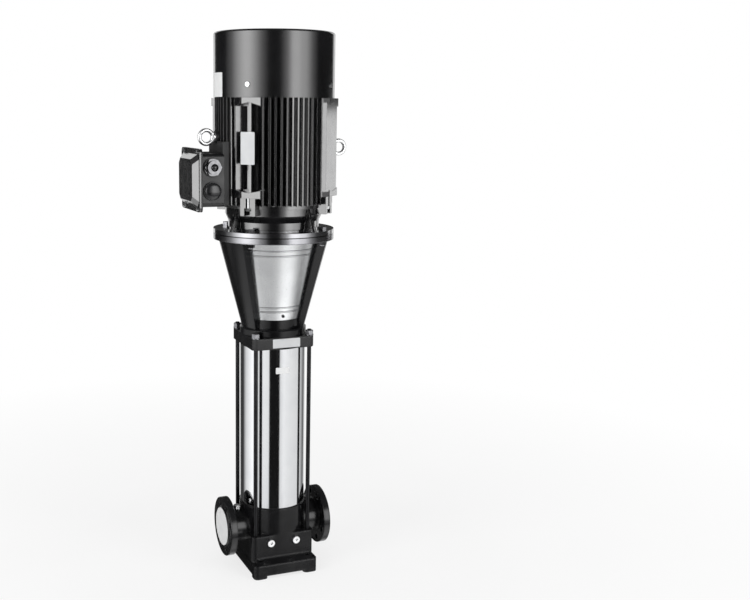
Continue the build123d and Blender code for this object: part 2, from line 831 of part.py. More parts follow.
guard_arc = 2 * (window_half_angle - guard_edge_angle)
for name, start in (("front", -90), ("rear", 90)):
    side = -1 if name == "front" else 1
    with BuildPart() as coupling_guard:
        revolve(guard_section(start - guard_arc / 2), revolution_arc=guard_arc)
        guard_face = Plane(origin=(0, side * screw_face, guard_bottom + guard_screw_level),
                           x_dir=(1, 0, 0),
                           z_dir=(0, side * cos(radians(tilt)), -sin(radians(tilt))))
        with BuildSketch(guard_face.offset(2)):
            Circle(guard_screw_radius + edge_gap)
        extrude(amount=-6, mode=Mode.SUBTRACT)
    coupling_guard.part.label = f"coupling_guard_{name}"
    export_step(coupling_guard.part, f"parts/coupling_guard_{name}.step")

with BuildPart() as guard_screws:
    for side in (-1, 1):
        guard_face = Plane(origin=(0, side * (screw_face + 0.2), guard_bottom + guard_screw_level),
                           x_dir=(1, 0, 0),
                           z_dir=(0, side * cos(radians(tilt)), -sin(radians(tilt))))
        with BuildSketch(guard_face):
            Circle(guard_screw_head_radius)
        extrude(amount=guard_screw_head_height)
        with BuildSketch(guard_face):
            Circle(guard_screw_radius - fit_gap)
        extrude(amount=-guard_screw_length)
guard_screws.part.label = "guard_screws"
export_step(guard_screws.part, "parts/guard_screws.step")

# ================================================================ pump shaft and coupling
coupling_top = stool_top - motor_shaft_drop + coupling_motor_length
coupling_bottom = stool_top - motor_shaft_drop - coupling_pump_length
with BuildPart() as pump_shaft:
    with BuildSketch(level(well_top - shaft_end_drop)):
        Circle(pump_shaft_radius)
    extrude(amount=stool_top - motor_shaft_drop - 4 - well_top + shaft_end_drop)
    chamfer(pump_shaft.faces().sort_by(Axis.Z)[-1].edges(), 2)
pump_shaft.part.label = "pump_shaft"
export_step(pump_shaft.part, "parts/pump_shaft.step")

bolt_levels = (coupling_bottom + coupling_bolt_margin / 2,
               stool_top - motor_shaft_drop - coupling_bolt_margin / 2,
               stool_top - motor_shaft_drop + coupling_bolt_margin / 2,
               coupling_top - coupling_bolt_margin / 2)
bolt_spots = [(y, z) for y in (-coupling_bolt_offset, coupling_bolt_offset) for z in bolt_levels]
bolt_pocket = coupling_radius * 0.55
for name, side in (("left", -1), ("right", 1)):
    with BuildPart() as coupling_half:
        revolve(ring(0, coupling_radius, coupling_bottom, coupling_top))
        chamfer(coupling_half.edges().filter_by(GeomType.CIRCLE), 3)
        with BuildSketch(level(coupling_bottom)):
            with Locations((side * (coupling_split / 2 - coupling_radius), 0)):
                Rectangle(2 * coupling_radius, 3 * coupling_radius)
        extrude(amount=coupling_top - coupling_bottom, mode=Mode.SUBTRACT)
        with BuildSketch(level(coupling_bottom)):
            Circle(pump_shaft_radius + fit_gap)
        extrude(amount=coupling_pump_length, mode=Mode.SUBTRACT)
        with BuildSketch(level(stool_top - motor_shaft_drop)):
            Circle(motor_shaft_radius + fit_gap)
        extrude(amount=coupling_motor_length, mode=Mode.SUBTRACT)
        with BuildSketch(Plane.YZ):
            with Locations(*bolt_spots):
                Circle(coupling_bolt_radius + edge_gap)
        extrude(amount=side * coupling_radius, mode=Mode.SUBTRACT)
        with BuildSketch(Plane.YZ.offset(side * bolt_pocket)):
            with Locations(*bolt_spots):
                Circle(coupling_bolt_head_radius + 1)
        extrude(amount=side * coupling_radius, mode=Mode.SUBTRACT)
    coupling_half.part.label = f"coupling_half_{name}"
    export_step(coupling_half.part, f"parts/coupling_half_{name}.step")

with BuildPart() as coupling_bolts:
    with BuildSketch(Plane.YZ.offset(-bolt_pocket)):
        with Locations(*bolt_spots):
            Circle(coupling_bolt_radius)
    extrude(amount=2 * bolt_pocket)
    for side in (-1, 1):
        with BuildSketch(Plane.YZ.offset(side * bolt_pocket)):
            with Locations(*bolt_spots):
                RegularPolygon(coupling_bolt_head_radius, 6)
        extrude(amount=side * coupling_bolt_head_height)
coupling_bolts.part.label = "coupling_bolts"
export_step(coupling_bolts.part, "parts/coupling_bolts.step")

# ================================================================ motor shaft
drive_bearing_bottom = stool_top + drive_bearing_height
rear_bearing_bottom = frame_top - rear_bearing_inset
motor_shaft_end = frame_top + rear_shield_thickness + fan_lift + fan_blade_width
with BuildPart() as motor_shaft:
    revolve(profile((0, stool_top - motor_shaft_drop), (motor_shaft_radius, stool_top - motor_shaft_drop),
                    (motor_shaft_radius, drive_bearing_bottom - 12),
                    (bearing_seat_radius, drive_bearing_bottom - 12),
                    (bearing_seat_radius, drive_bearing_bottom + bearing_width),
                    (rotor_seat_radius, drive_bearing_bottom + bearing_width),
                    (rotor_seat_radius, rear_bearing_bottom - 6),
                    (bearing_seat_radius, rear_bearing_bottom - 6),
                    (bearing_seat_radius, rear_bearing_bottom + bearing_width),
                    (fan_seat_radius, rear_bearing_bottom + bearing_width),
                    (fan_seat_radius, motor_shaft_end), (0, motor_shaft_end)))
motor_shaft.part.label = "motor_shaft"
export_step(motor_shaft.part, "parts/motor_shaft.step")

# ================================================================ bearings
bearing_bottoms = (drive_bearing_bottom, rear_bearing_bottom)
with BuildPart() as bearing_outer_rings:
    for bottom in bearing_bottoms:
        revolve(ring(bearing_radius - bearing_ring_wall, bearing_radius, bottom, bottom + bearing_width))
bearing_outer_rings.part.label = "bearing_outer_rings"
export_step(bearing_outer_rings.part, "parts/bearing_outer_rings.step")

with BuildPart() as bearing_inner_rings:
    for bottom in bearing_bottoms:
        revolve(ring(bearing_seat_radius + fit_gap, bearing_radius - bearing_ring_wall - running_gap,
                     bottom + 0.5, bottom + bearing_width - 0.5))
bearing_inner_rings.part.label = "bearing_inner_rings"
export_step(bearing_inner_rings.part, "parts/bearing_inner_rings.step")

# ================================================================ rotor and stator
stack_base = shield_joint + stack_start
stack_end = stack_base + stack_length
with BuildPart() as rotor_core:
    revolve(ring(rotor_seat_radius + fit_gap, rotor_radius, stack_base, stack_end))
    for bottom in (stack_base - rotor_ring_height, stack_end):
        revolve(ring(rotor_radius - 22, rotor_radius - 2, bottom, bottom + rotor_ring_height))
rotor_core.part.label = "rotor_core"
export_step(rotor_core.part, "parts/rotor_core.step")

with BuildPart() as stator_core:
    revolve(ring(rotor_radius + air_gap, frame_bore_radius - fit_gap, stack_base, stack_end))
stator_core.part.label = "stator_core"
export_step(stator_core.part, "parts/stator_core.step")

with BuildPart() as stator_windings:
    for base, tip in ((stack_base, stack_base - winding_height), (stack_end, stack_end + winding_height)):
        revolve(profile((winding_inner, base), (winding_radius, base),
                        (winding_radius, tip + (base - tip) / 5), (winding_radius - 8, tip),
                        (winding_inner + 8, tip), (winding_inner, tip + (base - tip) / 5)))
stator_windings.part.label = "stator_windings"
export_step(stator_windings.part, "parts/stator_windings.step")

# ================================================================ drive end shield
groove_bottom = stool_top + motor_flange_thickness
barrel_bottom = groove_bottom + shield_groove_height
barrel_top = barrel_bottom + shield_barrel_height
rim_bottom = shield_joint - shield_rim_height
ear_top = shield_joint + corner_block_base_gap
ear_bottom = rim_bottom + 4
with BuildPart() as drive_end_shield:
    revolve(profile((motor_shaft_radius + 1, stool_top - motor_spigot_height),
                    (motor_spigot_radius, stool_top - motor_spigot_height),
                    (motor_spigot_radius, stool_top), (stool_rim_radius, stool_top),
                    (stool_rim_radius, groove_bottom), (shield_groove_radius, groove_bottom),
                    (shield_groove_radius, barrel_bottom), (shield_barrel_radius, barrel_bottom),
                    (shield_barrel_radius, barrel_top), (shield_rim_radius, rim_bottom),
                    (shield_rim_radius, shield_joint),
                    (shield_barrel_radius - shield_wall, shield_joint),
                    (shield_barrel_radius - shield_wall, groove_bottom + 8),
                    (bearing_radius + shield_wall, groove_bottom + 8),
                    (bearing_radius + shield_wall, drive_bearing_bottom + bearing_width),
                    (bearing_radius + fit_gap, drive_bearing_bottom + bearing_width),
                    (bearing_radius + fit_gap, drive_bearing_bottom),
                    (motor_shaft_radius + 5, drive_bearing_bottom),
                    (motor_shaft_radius + 5, drive_bearing_bottom - 12),
                    (motor_shaft_radius + 1, drive_bearing_bottom - 12)))
    # gussets from the rim down to the flange
    for corner in range(4):
        angle = gusset_angle - 90 + 90 * corner
        with BuildSketch(radial_plane(angle)):
            with BuildLine():
                Polyline((shield_groove_radius - 4, groove_bottom), (gusset_foot_radius, groove_bottom),
                         (gusset_top_radius, shield_joint - 2),
                         (shield_groove_radius - 4, shield_joint - 2), close=True)
            make_face()
        extrude(amount=gusset_thickness / 2, both=True)
    # four ears that reach up to the frame's corner blocks, slotted for their bolts
    ear_root = shield_rim_radius - 4
    with BuildSketch(level(ear_bottom)):
        with PolarLocations((ear_root + ear_outer_radius) / 2, 4, corner_angle):
            Rectangle(ear_outer_radius - ear_root, ear_width)
    extrude(amount=ear_top - ear_bottom)
    with BuildSketch(level(shield_joint)):
        Circle(frame_ledge_radius + edge_gap)
    extrude(amount=ear_top - shield_joint, mode=Mode.SUBTRACT)
    with BuildSketch(level(ear_bottom)):
        with PolarLocations(shield_bolt_circle / 2 + ear_outer_radius / 2, 4, corner_angle):
            Rectangle(ear_outer_radius + 2 * shield_bolt_radius + 1, ear_slot_width)
    extrude(amount=ear_top - ear_bottom, mode=Mode.SUBTRACT)
    with BuildSketch(level(ear_bottom)):
        with PolarLocations(shield_bolt_circle / 2 + ear_outer_radius / 2, 4, corner_angle):
            Rectangle(ear_outer_radius + ear_pocket_width, ear_pocket_width)
    extrude(amount=ear_pocket_height, mode=Mode.SUBTRACT)
    with Locations(level(groove_bottom)):
        with PolarLocations(flange_bolt_circle / 2, 4, corner_angle):
            Hole(flange_bolt_radius + bolt_gap, depth=motor_flange_thickness)
drive_end_shield.part.label = "drive_end_shield"
export_step(drive_end_shield.part, "parts/drive_end_shield.step")

# ================================================================ shield bolts
with BuildPart() as shield_bolts:
    with BuildSketch(level(ear_bottom + ear_pocket_height)):
        with PolarLocations(shield_bolt_circle / 2, 4, corner_angle):
            RegularPolygon(shield_bolt_flats / 2, 6, major_radius=False)
    extrude(amount=-shield_bolt_head)
    with BuildSketch(level(ear_bottom + ear_pocket_height)):
        with PolarLocations(shield_bolt_circle / 2, 4, corner_angle):
            Circle(shield_bolt_radius)
    extrude(amount=ear_top + shield_bolt_thread - ear_bottom - ear_pocket_height)
shield_bolts.part.label = "shield_bolts"
export_step(shield_bolts.part, "parts/shield_bolts.step")

# ================================================================ motor flange bolts and nuts
with BuildPart() as motor_flange_bolts:
    with BuildSketch(level(groove_bottom)):
        with PolarLocations(flange_bolt_circle / 2, 4, corner_angle):
            RegularPolygon(flange_bolt_flats / 2, 6, major_radius=False)
    extrude(amount=flange_bolt_head)
    with BuildSketch(level(groove_bottom)):
        with PolarLocations(flange_bolt_circle / 2, 4, corner_angle):
            Circle(flange_bolt_radius)
    extrude(amount=-motor_flange_thickness - stool_rim_thickness - nut_height - staybolt_end)
motor_flange_bolts.part.label = "motor_flange_bolts"
export_step(motor_flange_bolts.part, "parts/motor_flange_bolts.step")

with BuildPart() as motor_flange_nuts:
    with BuildSketch(level(stool_rim_bottom)):
        with PolarLocations(flange_bolt_circle / 2, 4, corner_angle):
            RegularPolygon(flange_bolt_flats / 2, 6, major_radius=False)
            Circle(flange_bolt_radius + fit_gap, mode=Mode.SUBTRACT)
    extrude(amount=-nut_height)
motor_flange_nuts.part.label = "motor_flange_nuts"
export_step(motor_flange_nuts.part, "parts/motor_flange_nuts.step")

# ================================================================ motor frame
fin_reach = 2 * corner_face
block_base = shield_joint + corner_block_base_gap
pad_corners = (-45, 135)
rib_corners = (-135, 45)
pad_base = shield_joint + box_pad_base
pad_top = pad_base + box_pad_height
left_eye_level = shield_joint + left_eye_height
right_eye_level = shield_joint + right_eye_height
with BuildPart() as motor_frame:
    with BuildSketch(level(shield_joint)):
        Circle(frame_radius)
    extrude(amount=frame_length)
    # four banks of straight fins: full-width plates whose middles are inside the barrel
    with BuildSketch(level(shield_joint + frame_ledge_height - 1)):
        for row in range(fin_count):
            offset_from_axis = (row - (fin_count - 1) / 2) * fin_pitch
            with Locations((offset_from_axis, 0)):
                Rectangle(fin_thickness, fin_reach)
            with Locations((0, offset_from_axis)):
                Rectangle(fin_reach, fin_thickness)
        Circle(fin_tip_radius, mode=Mode.INTERSECT)
    extrude(amount=frame_length - frame_ledge_height + 1)
    with BuildSketch(level(shield_joint)):
        Circle(frame_ledge_radius)
    extrude(amount=frame_ledge_height)
    # corner blocks under the cowl and over the shield's ears, notched towards each other
    top_block_bottom = cowl_bottom - edge_gap - corner_block_top_height
    base_block_top = block_base + corner_block_base_height
    for bottom, height, edge, notch in (
            (top_block_bottom, corner_block_top_height, top_block_bottom, top_notch),
            (block_base, corner_block_base_height, base_block_top, -base_notch)):
        for corner in range(4):
            angle = corner_angle + corner_pitch * corner
            with BuildSketch(level(bottom).rotated((0, 0, angle))):
                with BuildLine():
                    Polyline((frame_bore_radius, -corner_half_width),
                             (corner_face - corner_slant, -corner_half_width),
                             (corner_face, corner_groove_offset - corner_groove_width),
                             (corner_face - corner_groove_depth, corner_groove_offset - corner_groove_width),
                             (corner_face - corner_groove_depth, corner_groove_offset),
                             (corner_face, corner_groove_offset), (corner_face, corner_half_width),
                             (frame_bore_radius, corner_half_width), close=True)
                make_face()
            extrude(amount=height)
            with BuildSketch(facing_plane(angle, corner_face + 1)):
                Polygon((-corner_half_width, edge), (corner_half_width, edge),
                        (corner_rib_offset, edge + notch), align=None)
            extrude(amount=frame_radius - corner_face, mode=Mode.SUBTRACT)
    # flat pads on two corners, a central rib on the other two
    pad_bottom = base_block_top - base_notch
    pad_height = top_block_bottom + top_notch - pad_bottom
    for angle in pad_corners:
        with BuildSketch(level(pad_bottom).rotated((0, 0, angle))):
            with Locations(((frame_bore_radius + corner_face - 1) / 2, -4)):
                Rectangle(corner_face - 1 - frame_bore_radius, 2 * corner_half_width - 8)
        extrude(amount=pad_height)
    for angle in rib_corners:
        with BuildSketch(level(pad_bottom).rotated((0, 0, angle))):
            with Locations(((frame_bore_radius + corner_rib_face) / 2, corner_rib_offset)):
                Rectangle(corner_rib_face - frame_bore_radius, corner_rib_width)
        extrude(amount=pad_height)
    # terminal box pad at -X, and the bosses that the eyebolts screw into
    with BuildSketch(level(pad_base)):
        with Locations((-(box_pad_face + frame_bore_radius) / 2, 0)):
            Rectangle(box_pad_face - frame_bore_radius, 2 * box_pad_half_width)
    extrude(amount=box_pad_height)
    for side, height in ((-1, left_eye_level), (1, right_eye_level)):
        with BuildSketch(Plane.YZ.offset(side * eye_boss_face)):
            with Locations((0, height)):
                Circle(eye_boss_radius)
        extrude(amount=-side * (eye_boss_face - frame_bore_radius))
    with BuildSketch(level(shield_joint)):
        Circle(frame_bore_radius)
    extrude(amount=frame_length, mode=Mode.SUBTRACT)
    for side, height in ((-1, left_eye_level), (1, right_eye_level)):
        with BuildSketch(Plane.YZ.offset(side * eye_boss_face)):
            with Locations((0, height)):
                Circle(eye_shank_radius + fit_gap)
        extrude(amount=-side * (eye_shank_length + 1), mode=Mode.SUBTRACT)
    with BuildSketch(level(block_base)):
        with PolarLocations(shield_bolt_circle / 2, 4, corner_angle):
            Circle(shield_bolt_radius + fit_gap)
    extrude(amount=shield_bolt_thread + 1, mode=Mode.SUBTRACT)
    # cable way from the windings into the terminal box
    box_centre = shield_joint + box_centre_height
    with BuildSketch(Plane.YZ.offset(-box_pad_face)):
        with Locations((0, box_centre + cable_way_rise)):
            Circle(cable_way_radius)
    extrude(amount=box_pad_face - frame_bore_radius + frame_wall, mode=Mode.SUBTRACT)
motor_frame.part.label = "motor_frame"
export_step(motor_frame.part, "parts/motor_frame.step")

# ================================================================ rear shield
screw_level = cowl_bottom + cowl_screw_rise
rear_shield_radius = fin_tip_radius - rear_shield_inset
with BuildPart() as rear_shield:
    revolve(profile((bearing_radius + fit_gap, rear_bearing_bottom),
                    (bearing_radius + shield_wall, rear_bearing_bottom),
                    (bearing_radius + shield_wall, frame_top),
                    (rear_shield_radius, frame_top), (rear_shield_radius, frame_top + shield_wall),
                    (bearing_radius + shield_wall, frame_top + rear_shield_thickness),
                    (fan_seat_radius + rear_hub_wall, frame_top + rear_shield_thickness + rear_hub_rise),
                    (fan_seat_radius + rear_hub_wall, rear_bearing_bottom + bearing_width),
                    (bearing_radius + fit_gap, rear_bearing_bottom + bearing_width)))
    # ears outside the barrel, which the cowl is screwed to
    with BuildSketch(level(frame_top - rear_ear_drop)):
        with PolarLocations(cowl_inner, 4, corner_angle):
            Rectangle(2 * (cowl_inner - frame_radius - edge_gap), rear_ear_width)
        Circle(cowl_inner - fit_gap, mode=Mode.INTERSECT)
    extrude(amount=rear_ear_drop + shield_wall)
    for corner in range(4):
        with BuildSketch(facing_plane(corner_angle + corner_pitch * corner, cowl_radius)):
            with Locations((0, screw_level)):
                Circle(cowl_screw_radius + fit_gap)
        extrude(amount=-cowl_screw_length - 1, mode=Mode.SUBTRACT)
rear_shield.part.label = "rear_shield"
export_step(rear_shield.part, "parts/rear_shield.step")

# ================================================================ fan cowl
with BuildPart() as fan_cowl:
    with BuildSketch(level(cowl_bottom)):
        Circle(cowl_radius)
    extrude(amount=cowl_height)
    fillet(fan_cowl.faces().sort_by(Axis.Z)[-1].edges(), cowl_edge_radius)
    with BuildSketch(level(cowl_bottom)):
        Circle(cowl_inner)
    extrude(amount=cowl_height - cowl_edge_radius, mode=Mode.SUBTRACT)
    with BuildSketch(level(cowl_top - cowl_edge_radius)):
        Circle(cowl_radius - cowl_edge_radius)
    extrude(amount=cowl_edge_radius - cowl_sheet, mode=Mode.SUBTRACT)
    # air intake: rings of slots crossed by spokes
    with BuildSketch(level(cowl_top - cowl_sheet)):
        for row in reversed(range(grille_rings)):
            inner = grille_start + row * grille_pitch
            Circle(inner + grille_slot)
            Circle(inner, mode=Mode.SUBTRACT)
        with PolarLocations(0, 2, corner_angle):
            Rectangle(2 * cowl_radius, grille_spoke, mode=Mode.SUBTRACT)
    extrude(amount=cowl_sheet, mode=Mode.SUBTRACT)
    for corner in range(4):
        with BuildSketch(facing_plane(corner_angle + corner_pitch * corner, cowl_radius + 1)):
            with Locations((0, screw_level)):
                Circle(cowl_screw_radius + edge_gap)
        extrude(amount=-cowl_sheet - 4, mode=Mode.SUBTRACT)
fan_cowl.part.label = "fan_cowl"
export_step(fan_cowl.part, "parts/fan_cowl.step")

# ================================================================ cowl screws
with BuildPart() as cowl_screws:
    for corner in range(4):
        outwards = facing_plane(corner_angle + corner_pitch * corner, cowl_radius)
        with BuildSketch(outwards):
            with Locations((0, screw_level)):
                Circle(cowl_screw_head_radius)
        extrude(amount=cowl_screw_head_height)
        with BuildSketch(outwards):
            with Locations((0, screw_level)):
                Circle(cowl_screw_radius)
        extrude(amount=-cowl_screw_length)
cowl_screws.part.label = "cowl_screws"
export_step(cowl_screws.part, "parts/cowl_screws.step")

# ================================================================ cooling fan
fan_disc_bottom = frame_top + rear_shield_thickness + fan_lift
with BuildPart() as cooling_fan:
    revolve(ring(fan_seat_radius + fit_gap, fan_hub_radius, fan_disc_bottom - 8, motor_shaft_end))
    revolve(ring(fan_hub_radius - 2, fan_radius - 6, fan_disc_bottom,
                 fan_disc_bottom + fan_disc_thickness))
    with BuildSketch(level(fan_disc_bottom + fan_disc_thickness - 1)):
        with PolarLocations((fan_radius + fan_hub_radius) / 2 + 8, fan_blade_count):
            Rectangle(fan_radius - fan_hub_radius - 16, fan_blade_thickness)
    extrude(amount=motor_shaft_end - fan_disc_bottom - fan_disc_thickness - 3)
cooling_fan.part.label = "cooling_fan"
export_step(cooling_fan.part, "parts/cooling_fan.step")

# ================================================================ terminal box
box_face = box_pad_face + box_depth
entry_levels = (box_centre + entry_rise - entry_spacing / 2, box_centre + entry_rise + entry_spacing / 2)
entry_spots = [(-(box_pad_face + entry_setback), z) for z in entry_levels]
lid_screw_spots = [(y, box_centre + z) for y in (-lid_screw_y, lid_screw_y)
                   for z in (-lid_screw_z, lid_screw_z)]
with BuildPart() as terminal_box:
    with BuildSketch(Plane.YZ.offset(-box_pad_face)):
        with Locations((0, box_centre)):
            RectangleRounded(2 * box_half_width, box_height, box_corner_radius)
    extrude(amount=-box_depth)
    with BuildSketch(Plane.YZ.offset(-box_face)):
        with Locations((0, box_centre)):
            RectangleRounded(2 * box_rim_half_width, box_rim_height, box_corner_radius)
    extrude(amount=box_rim_thickness)
    with BuildSketch(Plane.XZ.offset(box_half_width)):
        with Locations(*entry_spots):
            Circle(entry_boss_radius)
    extrude(amount=entry_boss_height)
    with BuildSketch(Plane.YZ.offset(-box_pad_face - box_wall)):
        with Locations((0, box_centre)):
            RectangleRounded(2 * (box_half_width - box_wall), box_height - 2 * box_wall,
                             box_corner_radius - box_wall)
    extrude(amount=box_wall - box_depth, mode=Mode.SUBTRACT)
    with BuildSketch(Plane.XZ.offset(box_half_width + entry_boss_height)):
        with Locations(*entry_spots):
            Circle(entry_radius)
    extrude(amount=-entry_boss_height - 2 * box_wall, mode=Mode.SUBTRACT)
    with BuildSketch(Plane.YZ.offset(-box_pad_face)):
        with Locations((0, box_centre + cable_way_rise)):
            Circle(cable_way_radius)
    extrude(amount=-box_wall, mode=Mode.SUBTRACT)
    with BuildSketch(Plane.YZ.offset(-box_face)):
        with Locations(*lid_screw_spots):
            Circle(lid_screw_radius + fit_gap)
    extrude(amount=box_rim_thickness, mode=Mode.SUBTRACT)
terminal_box.part.label = "terminal_box"
export_step(terminal_box.part, "parts/terminal_box.step")

lid_face = box_face + lid_rim_thickness
with BuildPart() as terminal_box_lid:
    with BuildSketch(Plane.YZ.offset(-box_face)):
        with Locations((0, box_centre)):
            RectangleRounded(2 * box_rim_half_width, box_rim_height, box_corner_radius)
    extrude(amount=-lid_rim_thickness)
    with BuildSketch(Plane.YZ.offset(-lid_face)):
        with Locations((0, box_centre)):
            Rectangle(2 * lid_base_half_width, lid_base_height)
            chamfer(vertices(), lid_corner_cut)
    with BuildSketch(Plane.YZ.offset(-lid_face - lid_rise)):
        with Locations((0, box_centre)):
            Rectangle(2 * lid_face_half_width, lid_face_height)
            chamfer(vertices(), lid_corner_cut)
    loft()
    with BuildSketch(Plane.YZ.offset(-box_face)):
        with Locations((0, box_centre)):
            Rectangle(2 * lid_face_half_width - lid_wall, lid_face_height - lid_wall)
            chamfer(vertices(), lid_corner_cut)
    extrude(amount=-lid_rim_thickness - lid_rise + lid_wall, mode=Mode.SUBTRACT)
    with BuildSketch(Plane.YZ.offset(-box_face)):
        with Locations(*lid_screw_spots):
            Circle(lid_screw_radius + edge_gap)
    extrude(amount=-lid_rim_thickness, mode=Mode.SUBTRACT)
terminal_box_lid.part.label = "terminal_box_lid"
export_step(terminal_box_lid.part, "parts/terminal_box_lid.step")

with BuildPart() as lid_screws:
    with BuildSketch(Plane.YZ.offset(-lid_face)):
        with Locations(*lid_screw_spots):
            Circle(lid_screw_head_radius)
    extrude(amount=-lid_screw_head_height)
    with BuildSketch(Plane.YZ.offset(-lid_face)):
        with Locations(*lid_screw_spots):
            Circle(lid_screw_radius)
    extrude(amount=lid_screw_length)
    with BuildSketch(Plane.YZ.offset(-lid_face - lid_screw_head_height)):
        with Locations(*lid_screw_spots):
            Rectangle(2 * lid_screw_head_radius, 1.6)
    extrude(amount=1.6, mode=Mode.SUBTRACT)
lid_screws.part.label = "lid_screws"
export_step(lid_screws.part, "parts/lid_screws.step")

with BuildPart() as terminal_board:
    with BuildSketch(Plane.YZ.offset(-box_pad_face - box_wall)):
        with Locations((0, box_centre - board_drop)):
            RectangleRounded(board_length, board_width, 6)
    extrude(amount=-board_thickness)
    with BuildSketch(Plane.YZ.offset(-box_pad_face - box_wall - board_thickness)):
        with Locations((0, box_centre - board_drop)):
            with GridLocations(board_length / 3, board_width / 2, 3, 2):
                Circle(board_stud_radius)
    extrude(amount=-board_stud_height)
terminal_board.part.label = "terminal_board"
export_step(terminal_board.part, "parts/terminal_board.step")

# ================================================================ cable gland and blanking plug
entry_face = box_half_width + entry_boss_height
with BuildPart() as cable_gland:
    with BuildSketch(Plane.XZ.offset(entry_face)):
        with Locations(entry_spots[1]):
            Circle(gland_radius + 3)
    extrude(amount=3)
    with BuildSketch(Plane.XZ.offset(entry_face + 3)):
        with Locations(entry_spots[1]):
            RegularPolygon(gland_radius, 6, major_radius=False)
    extrude(amount=gland_length / 2 - 3)
    with BuildSketch(Plane.XZ.offset(entry_face + gland_length / 2)):
        with Locations(entry_spots[1]):
            Circle(gland_radius - 2)
    extrude(amount=gland_length / 2)
    with BuildSketch(Plane.XZ.offset(entry_face)):
        with Locations(entry_spots[1]):
            Circle(entry_radius - fit_gap)
    extrude(amount=-entry_boss_height - box_wall - 3)
    with BuildSketch(Plane.XZ.offset(entry_face + gland_length)):
        with Locations(entry_spots[1]):
            Circle(gland_bore_radius)
    extrude(amount=-gland_length - entry_boss_height - box_wall - 3, mode=Mode.SUBTRACT)
cable_gland.part.label = "cable_gland"
export_step(cable_gland.part, "parts/cable_gland.step")

with BuildPart() as blanking_plug:
    with BuildSketch(Plane.XZ.offset(entry_face)):
        with Locations(entry_spots[0]):
            Circle(entry_boss_radius - 2)
    extrude(amount=plug_disc_thickness)
    with BuildSketch(Plane.XZ.offset(entry_face)):
        with Locations(entry_spots[0]):
            Circle(entry_radius - fit_gap)
    extrude(amount=-entry_boss_height - box_wall)
    with BuildSketch(Plane.XZ.offset(entry_face + plug_disc_thickness)):
        with Locations(entry_spots[0]):
            Rectangle(2 * entry_radius - 8, 3)
    extrude(amount=-2, mode=Mode.SUBTRACT)
blanking_plug.part.label = "blanking_plug"
export_step(blanking_plug.part, "parts/blanking_plug.step")

# ================================================================ eyebolts
eye_centre = eye_boss_face + eye_ring_radius + eye_ring_section + 0.5
with BuildPart() as eyebolts:
    for side, height in ((-1, left_eye_level), (1, right_eye_level)):
        with BuildSketch(Plane.XY.offset(height)):
            with Locations((side * (eye_centre - eye_ring_radius), 0)):
                Circle(eye_ring_section)
        revolve(axis=Axis((side * eye_centre, 0, height), (0, 1, 0)))
        with BuildSketch(Plane.YZ.offset(side * eye_boss_face)):
            with Locations((0, height)):
                Circle(eye_collar_radius)
        extrude(amount=side * eye_collar_height)
        with BuildSketch(Plane.YZ.offset(side * eye_boss_face)):
            with Locations((0, height)):
                Circle(eye_shank_radius)
        extrude(amount=-side * eye_shank_length)
eyebolts.part.label = "eyebolts"
export_step(eyebolts.part, "parts/eyebolts.step")

# ================================================================ nameplate, left bare
with BuildPart() as nameplate:
    with BuildSketch(radial_plane(-corner_angle).offset(corner_rib_face)):
        with Locations((0, shield_joint + nameplate_rise + nameplate_height / 2)):
            RectangleRounded(nameplate_width, nameplate_height, 3)
    extrude(amount=nameplate_thickness)
nameplate.part.label = "nameplate"
export_step(nameplate.part, "parts/nameplate.step")
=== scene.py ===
"""Looks for the vertical multistage pump: materials, bare labels, light and camera.

Metres, in the CAD model's own frame: +Z up the shaft, suction at -X, front at -Y.
Azimuths are measured from -Y towards +X.
"""

import math

import bmesh
import bpy
from mathutils import Matrix, Vector


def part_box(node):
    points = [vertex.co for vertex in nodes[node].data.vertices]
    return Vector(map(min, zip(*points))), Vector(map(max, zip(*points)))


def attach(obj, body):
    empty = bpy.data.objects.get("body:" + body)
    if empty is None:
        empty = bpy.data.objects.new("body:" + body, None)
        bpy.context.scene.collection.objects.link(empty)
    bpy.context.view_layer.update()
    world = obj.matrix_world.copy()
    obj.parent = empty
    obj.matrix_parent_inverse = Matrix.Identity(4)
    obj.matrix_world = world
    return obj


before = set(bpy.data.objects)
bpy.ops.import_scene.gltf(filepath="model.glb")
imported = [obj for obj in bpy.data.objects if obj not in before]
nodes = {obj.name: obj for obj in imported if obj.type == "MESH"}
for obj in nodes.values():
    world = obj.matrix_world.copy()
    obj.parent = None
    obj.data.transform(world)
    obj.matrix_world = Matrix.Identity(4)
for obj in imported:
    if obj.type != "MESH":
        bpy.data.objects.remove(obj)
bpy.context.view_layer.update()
scene = bpy.context.scene
ROOT = "pump_body"

# ------------------------------------------------------------------ camera
CAMERA_AZIMUTH = math.radians(-20.54)
CAMERA_PITCH = math.radians(9.88)
CAMERA_ROLL = math.radians(0.30)
CAMERA_DISTANCE = 3.4008
CAMERA_HEIGHT = 1.5614
CAMERA_LENS = 49.2
CAMERA_SENSOR = 36
CAMERA_SHIFT = (0.1359, -0.016)  # the pump stands left of the middle


